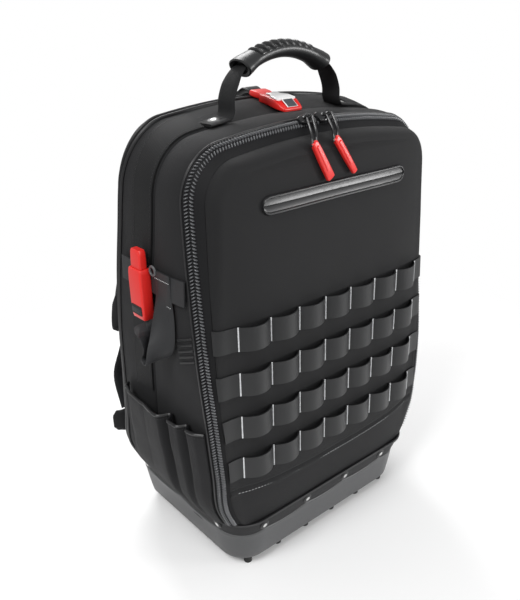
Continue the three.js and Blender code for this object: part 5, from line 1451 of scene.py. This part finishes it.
@dataclass
class SideBuckle:
    """The red buckle on the left side, with its tongue and its hanging slack webbing.

    Each row of SLACK is a place on the slack webbing's loop: forward, out and up as shares of the webbing's
    width, and how far it is turned there in degrees.
    """

    depth: float = 99.5
    middle: float = 334.0
    webbing: float = WEBBING
    foot: float = 307.0

    SLACK = (
        (1.36, 0.02, 2.2, 0),
        (1.36, 0.03, 1.3, 0),
        (1.4, 0.12, 0.6, 15),
        (1.46, 0.26, 0, 30),
        (1.5, 0.42, -0.6, 50),
        (1.42, 0.58, -1.05, 75),
        (1.25, 0.64, -1.3, 95),
        (1.02, 0.62, -1.25, 115),
        (0.86, 0.56, -0.95, 125),
        (0.72, 0.5, -0.55, 110),
        (0.5, 0.43, -0.27, 70),
        (0.3, 0.37, -0.07, 30),
    )

    @property
    def back(self) -> float:
        """Where the buckle's back lies against the strap."""
        return 1000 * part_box("side_buckle")[1].x - float(SHIFT[0])

    def build(self) -> None:
        """Makes the buckle, its tongue and its webbing."""
        place = frame_placer((self.back, self.depth, self.middle), (0, -1, 0), (0, 0, 1))
        body = bar("side_buckle_body", [
            (-27.0, 9.8, 1.0, 11.0, 1.6), (-26.0, 10.9, 0.2, 12.2, 2.0), (-22.0, 11.6, 0.0, 13.0, 2.2),
            (-8.0, 11.8, 0.0, 13.4, 2.2), (12.0, 11.8, 0.0, 13.4, 2.2), (22.0, 11.7, 0.0, 13.2, 2.2),
            (26.0, 11.3, 0.2, 12.6, 2.0), (27.0, 10.6, 0.8, 11.6, 1.6)],
            place)
        dress(body, "red", ["side_buckle"], crease=32)
        slot = moulding("side_buckle_slot", soft_levels(1.0, 0.3), 19.0, 10.0, 1.4,
                        lambda p: place(p + np.array([0, -16.5, 12.8])))
        dress(slot, "rubber")
        threaded = strap("side_buckle_bar", place(np.array([(0, y, 13.9) for y in (-19.4, -18.0, -16.0, -14.4)])),
                         (0, 1, 0), 18.0, 0.6)
        dress(threaded, "strap_webbing")
        tongue = bar("side_tongue", [
            (27.2, 9.0, 2.2, 10.6, 1.6), (31.0, 9.2, 2.0, 10.6, 1.8), (40.0, 9.0, 2.0, 10.2, 1.8),
            (44.6, 8.6, 2.1, 9.8, 1.8), (46.2, 7.6, 2.6, 9.0, 1.4)], place)
        dress(tongue, "red", ["side_buckle_tongue"], crease=40)
        slack = np.array(self.SLACK)
        stops = np.stack([self.back - 0.3 - slack[:, 1] * self.webbing, self.depth - slack[:, 0] * self.webbing,
                          self.foot + slack[:, 2] * self.webbing], axis=1)
        path = smooth_path(stops, 96)
        turn = np.radians(np.interp(np.linspace(0, len(slack) - 1, 96), np.arange(len(slack)), slack[:, 3]))
        across = np.stack([-np.sin(turn), np.cos(turn), np.zeros_like(turn)], axis=1)
        dress(strap("slack_webbing", path, across, self.webbing, 1.6), "strap_webbing", ["side_slack_webbing"])
        fold = self.depth - 1.36 * self.webbing
        seams = []
        for z in (self.foot + 1.9 * self.webbing, self.foot + 0.92 * self.webbing):
            line = np.array([(self.back - 2.9, y, z) for y in np.linspace(fold - 11.5, fold + 11.5, 14)])
            seams.append((line, (-1, 0, 0)))
        beaded("slack_stitches", seams, "grey_thread", 2.3, (1.6, 0.8, 0.6))
        ring = np.linspace(0, 2 * math.pi, 24, endpoint=False)
        loop = np.stack([np.full(24, self.back - 2.4), fold + 16.0 + 4.6 * np.cos(ring),
                         361.0 + 4.6 * np.sin(ring)], axis=1)
        dress(tube("side_ring", loop, 1.3, closed=True), "pale_cord")


# The bag's sides
@dataclass
class SideGear:
    """The webbing, level strap and gathered pocket on each side of the bag.

    Each row of FOLDS is a place along the pocket, from its rear edge, and how far it bulges there, as shares.
    """

    strip: float = 32.0
    strip_foot: float = 212.0
    strap_height: float = 349.0
    strap_end: float = 145.0
    mouth: float = 200.0
    bulge: float = 15.0
    pocket_rear: float = 165.0

    FOLDS = ((0.0, 0.0), (0.03, 0.55), (0.06, 0.42), (0.12, 0.7), (0.3, 0.9), (0.5, 1.0), (0.57, 0.94),
             (0.605, 0.02), (0.64, 0.1), (0.67, 0.72), (0.78, 0.66), (0.81, 0.0), (0.835, 0.04), (0.86, 0.5),
             (0.94, 0.4), (1.0, 0.0))

    def _strip(self, label: str, side: int) -> None:
        """Makes the webbing that runs over the shoulder and down the side."""
        s = ARCH.stations(foot=self.strip_foot, step=3.5)
        s = s.cut((np.sign(s.x) == side) & (np.abs(s.x) > 101))
        faces = []
        for out in (2.3, 0.4):
            faces.append(np.stack([on_bag(s, s.column("seam") + 2 + reach, out)
                                   for reach in np.linspace(0, self.strip, 6)], axis=1))
        dress(shell(f"strip_{label}", *faces), "leg_webbing", [f"shoulder_webbing_{label}"], crease=60)
        lines = []
        for reach in (2.4, self.strip - 2.4):
            lines.append((on_bag(s, s.column("seam") + 2 + reach, 2.4), s.out))
        beaded(f"strip_stitches_{label}", lines, "thread", SEAM_PITCH, SEAM_STITCH)

    def _strap(self, label: str, side: int) -> None:
        """Makes the level strap across the side and the bar tacks below its front end."""
        start = float(Lines.at("zip", self.strap_height)) + 9
        depths = np.linspace(start, self.strap_end, 18)
        rows = []
        for out in (4.2, 2.6):
            grid = [np.concatenate([on_bag(ARCH.side_at(side, self.strap_height + rise), d, out) for d in depths])
                    for rise in (-12.7, -6.3, 0, 6.3, 12.7)]
            rows.append(np.stack(grid, axis=1))
        dress(shell(f"side_strap_{label}", *rows), "strap_webbing", [f"side_strap_{label}"], crease=60)
        tacks = []
        for z in np.linspace(300, 276, 5):
            depth = np.linspace(Lines.at("zip", z) + 11, Lines.at("zip", z) + 32, 10)
            tacks.append((np.concatenate([on_bag(ARCH.side_at(side, z + 4 - i * 0.9), d, 0.9) for i,
                                          d in enumerate(depth)]),
                          (side, 0, 0)))
        beaded(f"bar_tacks_{label}", tacks, "cord", 1.6, (2.6, 3.0, 2.2))

    def _pocket(self, label: str, side: int) -> None:
        """Makes the gathered pocket with its bound mouth."""
        folds = np.array(self.FOLDS)
        share = np.linspace(0, 1, 121)
        out = np.interp(share, folds[:, 0], folds[:, 1])
        soft = np.convolve(np.pad(out, 2, mode="edge"), np.array([0.1, 0.22, 0.36, 0.22, 0.1]), mode="valid")
        skins = ([], [])
        heights = np.linspace(BAND_TOP + 0.4, self.mouth, 26)
        for z in heights:
            level = (z - heights[0]) / (self.mouth - heights[0])
            s = ARCH.side_at(side, z)
            start = float(s.column("zip")[0]) + 10.3
            depth = self.pocket_rear + (1 - level) * 8 + share * (start - self.pocket_rear - (1 - level) * 8)
            depth -= (1 - level) * 9 * np.sin(math.pi * share)
            full = 0.12 + 0.88 * math.sin(level * math.pi / 2)
            lift = 0.9 + soft * full * self.bulge
            lift += 0.5 * wobble(np.stack([share * 150, 0 * share, 0 * share + z], axis=1), 16, side) * full
            many = Stations(*(np.repeat(getattr(s, k), len(share)) for k in ("x", "z", "nx", "nz")))
            skins[0].append(on_bag(many, depth, lift + 1.6))
            skins[1].append(on_bag(many, depth, lift))
        outer, inner = np.array(skins[0]), np.array(skins[1])
        made = shell(f"pocket_{label}", outer, inner)
        dress(made, "bag_cloth", [f"side_pocket_{label}"], crease=60)
        dress(tube(f"pocket_binding_{label}", (outer[-1] + inner[-1]) / 2, 1.9), "cord")
        line = outer[-2] + np.array([side * 0.3, 0, 1.0])
        beaded(f"pocket_stitches_{label}", [(line, (side, 0, 0))], "thread", SEAM_PITCH, SEAM_STITCH)

    def build(self) -> None:
        """Makes both sides."""
        for label, side in SIDES.items():
            self._strip(label, side)
            self._strap(label, side)
            self._pocket(label, side)


# The sliders and pulls
@dataclass
class Pulls:
    """The two sliders nose to nose, with their wire pullers and red grips."""

    tilt: float = math.radians(32)

    def build(self) -> None:
        """Makes the sliders, the pullers and the grips."""
        for label, x, top, foot in (("left", -16.0, -38.0, -15.0), ("right", 9.0, -9.0, 19.0)):
            self._slider(label, x)
            self._pull(label, top, foot)

    def _slider(self, label: str, x: float) -> None:
        """Makes a slider: a waisted gloss body with side wings and the bridge that its puller hangs from."""
        centre = zip_line(ARCH.top_at(x), 0)[0]
        along = (SIDES[label], 0, 0)
        across = np.array([0, math.cos(self.tilt), math.sin(self.tilt)]) * SIDES[label]
        place = frame_placer(centre, across, along)
        if place(np.array([[0, 0, 1.0]]))[0, 2] < centre[2]:
            place = frame_placer(centre, -across, along)
        body = bar(f"slider_{label}", [
            (-10.0, 5.2, 2.6, 5.6, 1.2), (-8.6, 6.6, 2.0, 6.8, 1.8), (-5.0, 7.2, 1.6, 7.6, 2.2),
            (0.0, 6.0, 1.6, 7.4, 2.2), (4.0, 5.4, 1.8, 7.2, 2.0), (8.4, 4.6, 2.2, 6.6, 1.6),
            (10.0, 3.2, 3.0, 5.6, 1.0)], place)
        angle = np.linspace(0, math.pi, 12)
        bridge = np.stack([np.zeros(12), 6.0 * np.cos(angle), 6.4 + 3.6 * np.sin(angle)], axis=1)
        made = join(f"slider_{label}_body", [body, tube(f"bridge_{label}", place(bridge), 1.4)])
        dress(made, "black_gloss", [f"slider_{label}"], crease=40)

    def _pull(self, label: str, top: float, foot: float) -> None:
        """Makes a pull: a wire loop from the slider and a red grip with a raised ridge."""
        _, high = node_box(f"puller_{label}")
        grip_low, grip_high = node_box(f"pull_grip_{label}")
        hinge = high - np.array([3.0, 1.0, 1.4])
        head = np.array([top, (grip_low[1] + grip_high[1]) / 2, grip_high[2] - 0.5])
        tail = np.array([foot, head[1], grip_low[2]])
        middle = hinge + 0.75 * (head - hinge) + np.array([0, -1.5, 2.0])
        centre = smooth_path(np.array([hinge, middle, head + np.array([0.6, 0, -3.0])]), 14)
        spread = 3.5 * np.linspace(1, 0.7, 14)[:, None] * np.array([1.0, 0, 0.25])
        wires = [tube(f"wire_{label}_{k}", centre + spread * k, 1.35) for k in (-1, 1)]
        wires.append(tube(f"wire_{label}_bar", np.stack([hinge + spread[0] * k for k in (-1.1, 0, 1.1)]), 1.2))
        made = join(f"wire_{label}", wires)
        dress(made, "black_gloss", [f"puller_{label}"], body=f"pull_{label}", crease=60)
        along = tail - head
        place = frame_placer(head, np.cross(along, (0, -1, 0)), along)
        reach = float(np.linalg.norm(along))
        flip = 1.0 if place(np.array([[0, 0, 1.0]]))[0, 1] < head[1] else -1.0
        stops = [(0.0, 2.8, 1.7), (0.5, 3.4, 2.2), (5.0, 3.9, 2.7), (14.0, 4.2, 2.9), (28.0, 4.6, 2.8),
                 (reach - 1.6, 4.9, 2.5),
                 (reach - 0.5, 4.6, 2.2), (reach, 3.9, 1.7)]
        if label == "right":
            stops = [(a, half * (1 - 0.35 * a / reach), thick) for a, half, thick in stops]
        body = bar(f"grip_{label}", [(a, half, -thick, thick, min(thick * 0.8, 1.6)) for a, half, thick in stops],
                   place)
        ridge = bar(f"ridge_{label}", [(3.0, 0.6, 0.4, 2.0, 0.3), (5.0, 1.8, 0.6, 3.7, 0.9),
                                       (24.0, 2.2, 0.6, 3.7, 0.9), (33.0, 2.3, 0.5, 3.4, 0.9),
                                       (35.0, 1.4, 0.4, 1.8, 0.4)],
                    lambda p: place(p * np.array([1, 1, flip])))
        made = join(f"red_grip_{label}", [body, outward(ridge)])
        dress(made, "red", [f"pull_grip_{label}"], body=f"pull_{label}", crease=36)


# The carrying side
@dataclass
class Padding:
    """Swells a closed skin into a stuffed pad by a cloth simulation."""

    voxel: float = 0.0055
    pressure: float = 4.0
    cap: float = 0.005
    frames: int = 20

    def swell(self, made: bpy.types.Object, fill: float) -> bpy.types.Object:
        """Args:
            made: the piece, slightly smaller than it is to be.
            fill: how tight it is, from 0 to 1; not used.

        Returns:
            The piece.
        """
        remesh = made.modifiers.new("remesh", "REMESH")
        remesh.mode, remesh.voxel_size = "VOXEL", self.voxel
        self._apply(made)
        before = np.array([v.co for v in made.data.vertices])
        cloth = made.modifiers.new("cloth", "CLOTH")
        cloth.settings.use_pressure = True
        cloth.settings.uniform_pressure_force = self.pressure
        cloth.settings.effector_weights.gravity = 0
        scene = bpy.context.scene
        for number in range(1, self.frames + 1):
            scene.frame_set(number)
        self._apply(made)
        scene.frame_set(1)
        after = np.array([v.co for v in made.data.vertices])
        move = after - before
        size = np.linalg.norm(move, axis=1, keepdims=True)
        held = before + move * np.minimum(1, self.cap / np.maximum(size, 1e-9))
        made.data.vertices.foreach_set("co", held.ravel())
        smooth = made.modifiers.new("smooth", "SUBSURF")
        smooth.levels = smooth.render_levels = 1
        self._apply(made)
        return made

    @staticmethod
    def _apply(made: bpy.types.Object) -> None:
        """Turns a piece's modifiers into plain mesh."""
        bpy.context.view_layer.update()
        evaluated = made.evaluated_get(bpy.context.evaluated_depsgraph_get())
        mesh = bpy.data.meshes.new_from_object(evaluated)
        made.modifiers.clear()
        made.data = mesh


@dataclass
class CarryingSide:
    """The padded back, the shoulder straps, their adjusters and lower webbing, and the wings at the foot.

    Each row of STRAP is a place on a shoulder strap: how far up the bag, how far aside and how far off the back.
    """

    strap_width: float = 56.0
    strap_thickness: float = 12.0

    STRAP = ((0.98, 0.34, 0.0), (0.93, 0.39, 0.12), (0.86, 0.48, 0.45), (0.78, 0.585, 0.75), (0.67, 0.68, 0.95),
             (0.57, 0.735, 1.1), (0.49, 0.765, 1.16), (0.43, 0.775, 1.1))

    def build(self) -> None:
        """Makes the carrying side."""
        self._back()
        for label, side in SIDES.items():
            self._strap(label, side)

    def _back(self) -> None:
        """Makes the back panel with its rounded edge, and the pads sewn onto it."""
        right = ARCH.right_half(np.arange(45, 429, 5.0))
        skins = []
        for wall in (0.0, CLOTH):
            grid = []
            for angle in np.radians(np.linspace(0, 90, 7)):
                turn = 1 - math.cos(angle)
                near, far = right.column("piping") + 0.3, right.column("back") - wall
                side = np.full(len(right), -GUSSET_INSET - wall - 12 * turn)
                rise = np.full(len(right), GUSSET_RISE - wall - 8 * turn)
                grid.append(beside(right, side, rise, near + (far - near) * math.sin(angle)))
            rim = grid[-1]
            skins.append(cover(np.stack(grid), lambda x, z, wall=wall, rim=rim: rim[:, 1] + 0 * x, 31))
        outer, inner = skins
        quilt = 0.8 * np.cos(outer[..., 0] / 7) * np.cos(outer[..., 2] / 7) * (np.abs(outer[..., 0]) < 140)
        outer[..., 1] += 0.25 * quilt
        grid = np.concatenate([outer, inner[::-1]]).swapaxes(0, 1)
        dress(loft("back_wall", grid), "bag_cloth", ["back_panel"], crease=60)
        for name, x, low, high, width in (("left", -62.0, 150.0, 430.0, 70.0),
                                          ("right", 62.0, 150.0, 430.0, 70.0),
                                          ("foot", 0.0, 82.0, 136.0, 190.0)):
            foot, middle, head = Lines.at("back", np.array([low, (low + high) / 2, high]))
            slope = np.array([0, head - foot, high - low])
            place = frame_placer((x, middle - 0.5, (low + high) / 2), (-1, 0, 0), slope)
            pad = moulding(f"back_pad_{name}", soft_levels(8.0, 3.5), width, high - low, 16, place)
            Padding().swell(pad, 0.6)
            dress(pad, "spacer_mesh")

    def _strap(self, label: str, side: int) -> None:
        """Makes one shoulder strap with its adjuster, its lower webbing and the wing."""
        stops = [(side * aside * Lines.HALF_WIDTH,
                  float(Lines.at("back", Lines.HEM + up * Lines.HEIGHT)) + 1.6 + 24 * stand,
                  Lines.HEM + up * Lines.HEIGHT) for up, aside, stand in self.STRAP]
        path = smooth_path(np.array(stops), 60)
        pad = strap(f"shoulder_pad_{label}", path + np.array([0, 1.0, 0]), (-1, 0, 0), self.strap_width - 3,
                    self.strap_thickness - 3, edge=0.3)
        Padding().swell(pad, 0.7)
        dress(pad, "pad_cloth", [f"shoulder_strap_{label}"])
        ribbon = strap(f"strap_ribbon_{label}", path[4:] + np.array([0, self.strap_thickness + 0.2, 0]),
                       (-1, 0, 0), 26, 1.5)
        dress(ribbon, "strap_webbing")
        end = np.array(stops[-1])
        low, high = node_box(f"strap_adjuster_{label}")
        middle = (low + high) / 2
        place = frame_placer((middle[0], low[1], middle[2]), (-1, 0, 0), (0, 0, 1))
        plate = moulding(f"adjuster_{label}_plate", soft_levels(3.6, 1.0), 34, 22, 4, place)
        rods = [tube(f"adjuster_{label}_{k}", place(np.array([(-14, k, 4.0), (0, k, 4.6), (14, k, 4.0)])),
                     1.4) for k in (-7, 0, 7)]
        dress(join(f"adjuster_{label}", [plate, *rods]), "black_gloss", [f"strap_adjuster_{label}"])
        low, high = node_box(f"lower_strap_{label}")
        foot_x = side * 0.83 * Lines.HALF_WIDTH
        head = np.array([end[0], end[1] + 6, high[2]])
        tail = np.array([foot_x, low[1] + 0.6, low[2]])
        bend = (head + tail) / 2 + np.array([side * 3, 12, 0])
        path = smooth_path(np.array([head, bend, tail]), 24)
        dress(strap(f"lower_webbing_{label}", path, (-1, 0, 0), WEBBING, 1.6), "strap_webbing",
              [f"lower_strap_{label}"])
        low, high = node_box(f"foot_wing_{label}")
        turns = ((0.5, 0), (0.68, 0.5), (0.8, 2.4), (0.89, 6), (0.95, 10), (0.975, 13))
        route = np.array([(side * a * Lines.HALF_WIDTH, low[1] + 1.2 + out, (low[2] + high[2]) / 2) for a,
                          out in turns])
        width = (high[2] - low[2] - 3) * np.interp(np.linspace(0, 1, 24), [0, 0.7, 0.9, 1], [1, 0.98, 0.86, 0.6])
        wing = strap(f"wing_{label}", smooth_path(route, 24), (0, 0, side), width, 6.4, edge=0.3)
        Padding().swell(wing, 0.6)
        dress(wing, "pad_cloth", [f"foot_wing_{label}"])


# The scene
@dataclass
class Studio:
    """The camera, the lights and the floor."""

    eye: tuple[float, float, float] = (-482.7, -456.4, 587.6)
    azimuth: float = -39.623
    elevation: float = 23.033
    roll: float = -1.629
    focal: float = 673.239
    height: float = 600.0

    LIGHTS = (("key", (-1.5, -0.4, 1.9), 0.9, 30), ("streak", (1.7, -1.9, 0.35), 0.7, 34),
              ("front", (-0.3, -2.2, 1.5), 1.2, 16), ("rim", (0.5, 1.4, 1.9), 1.0, 26))

    def camera(self) -> None:
        """Makes the camera at the photograph's place and angle."""
        a, e, r = (math.radians(v) for v in (self.azimuth, self.elevation, self.roll))
        back = Vector((math.sin(a) * math.cos(e), -math.cos(a) * math.cos(e), math.sin(e)))
        right = Vector((math.cos(a), math.sin(a), 0))
        up = back.cross(right)
        across = math.cos(r) * right + math.sin(r) * up
        above = math.cos(r) * up - math.sin(r) * right
        data = bpy.data.cameras.new("camera")
        data.sensor_width = 36
        data.lens = self.focal / self.height * data.sensor_width
        data.clip_start, data.clip_end = 0.01, 50
        made = bpy.data.objects.new("camera", data)
        turned = Matrix((across, above, back)).transposed().to_4x4()
        made.matrix_world = Matrix.Translation(Vector(metres(np.array(self.eye)))) @ turned
        bpy.context.scene.collection.objects.link(made)
        bpy.context.scene.camera = made

    @staticmethod
    def _light(name: str, place: Sequence[float], size: float, power: float) -> None:
        """Makes a soft light that looks at the bag's middle."""
        data = bpy.data.lights.new(name, "AREA")
        data.size, data.energy = size, power
        made = bpy.data.objects.new(name, data)
        made.location = place
        made.rotation_mode = "QUATERNION"
        made.rotation_quaternion = (Vector((0, 0, 0.28)) - Vector(place)).to_track_quat("-Z", "Y")
        bpy.context.scene.collection.objects.link(made)

    @staticmethod
    def _world() -> None:
        """Makes the world: white to the camera, and dimmer as a light."""
        world = bpy.context.scene.world or bpy.data.worlds.new("studio")
        bpy.context.scene.world = world
        world.use_nodes = True
        tree = world.node_tree
        back = tree.nodes["Background"]
        back.inputs["Color"].default_value = (1, 1, 1, 1)
        path, strength = tree.nodes.new("ShaderNodeLightPath"), tree.nodes.new("ShaderNodeMapRange")
        strength.inputs["To Min"].default_value, strength.inputs["To Max"].default_value = 0.5, 1.0
        tree.links.new(path.outputs["Is Camera Ray"], strength.inputs["Value"])
        tree.links.new(strength.outputs["Result"], back.inputs["Strength"])

    @staticmethod
    def _floor() -> None:
        """Makes the pale floor, which fades away round the bag."""
        angle = np.linspace(0, 2 * math.pi, 64, endpoint=False)
        rings = [np.stack([r * np.cos(angle), r * np.sin(angle), 0 * angle], axis=1) for r in (0.01, 0.4, 0.9)]
        faces = [tuple(range(64))]
        for ring in (0, 64):
            faces += [(ring + k, ring + 64 + k, ring + 64 + (k + 1) % 64, ring + (k + 1) % 64) for k in range(64)]
        floor = mesh_object("floor", np.concatenate(rings), faces, scaled=True)
        g = Graph("floor")
        x, y, _ = g.apart(g.coordinates(False))
        far = (x * x + y * y).above(0.42, 0.4)
        g.link(Base_Color=(0.94, 0.94, 0.94, 1), Roughness=0.9, Alpha=(far * -1.0 + 1.0).clamped())
        floor.data.materials.append(g.material)

    def build(self) -> None:
        """Makes the camera, the lights, the pale world and the floor."""
        self.camera()
        for name, place, size, power in self.LIGHTS:
            self._light(name, place, size, power)
        self._world()
        bpy.context.scene.view_settings.view_transform = "Standard"
        self._floor()


def main() -> None:
    """Builds the backpack and the studio."""
    for part in (Tub(), BagCloth(), MainZip(), Ladder(), Handle(), TopBuckle(), SideBuckle(), SideGear(), Pulls(),
                 CarryingSide(), Studio()):
        part.build()
        log.info("built %s", type(part).__name__)


if __name__ == "__main__":
    main()
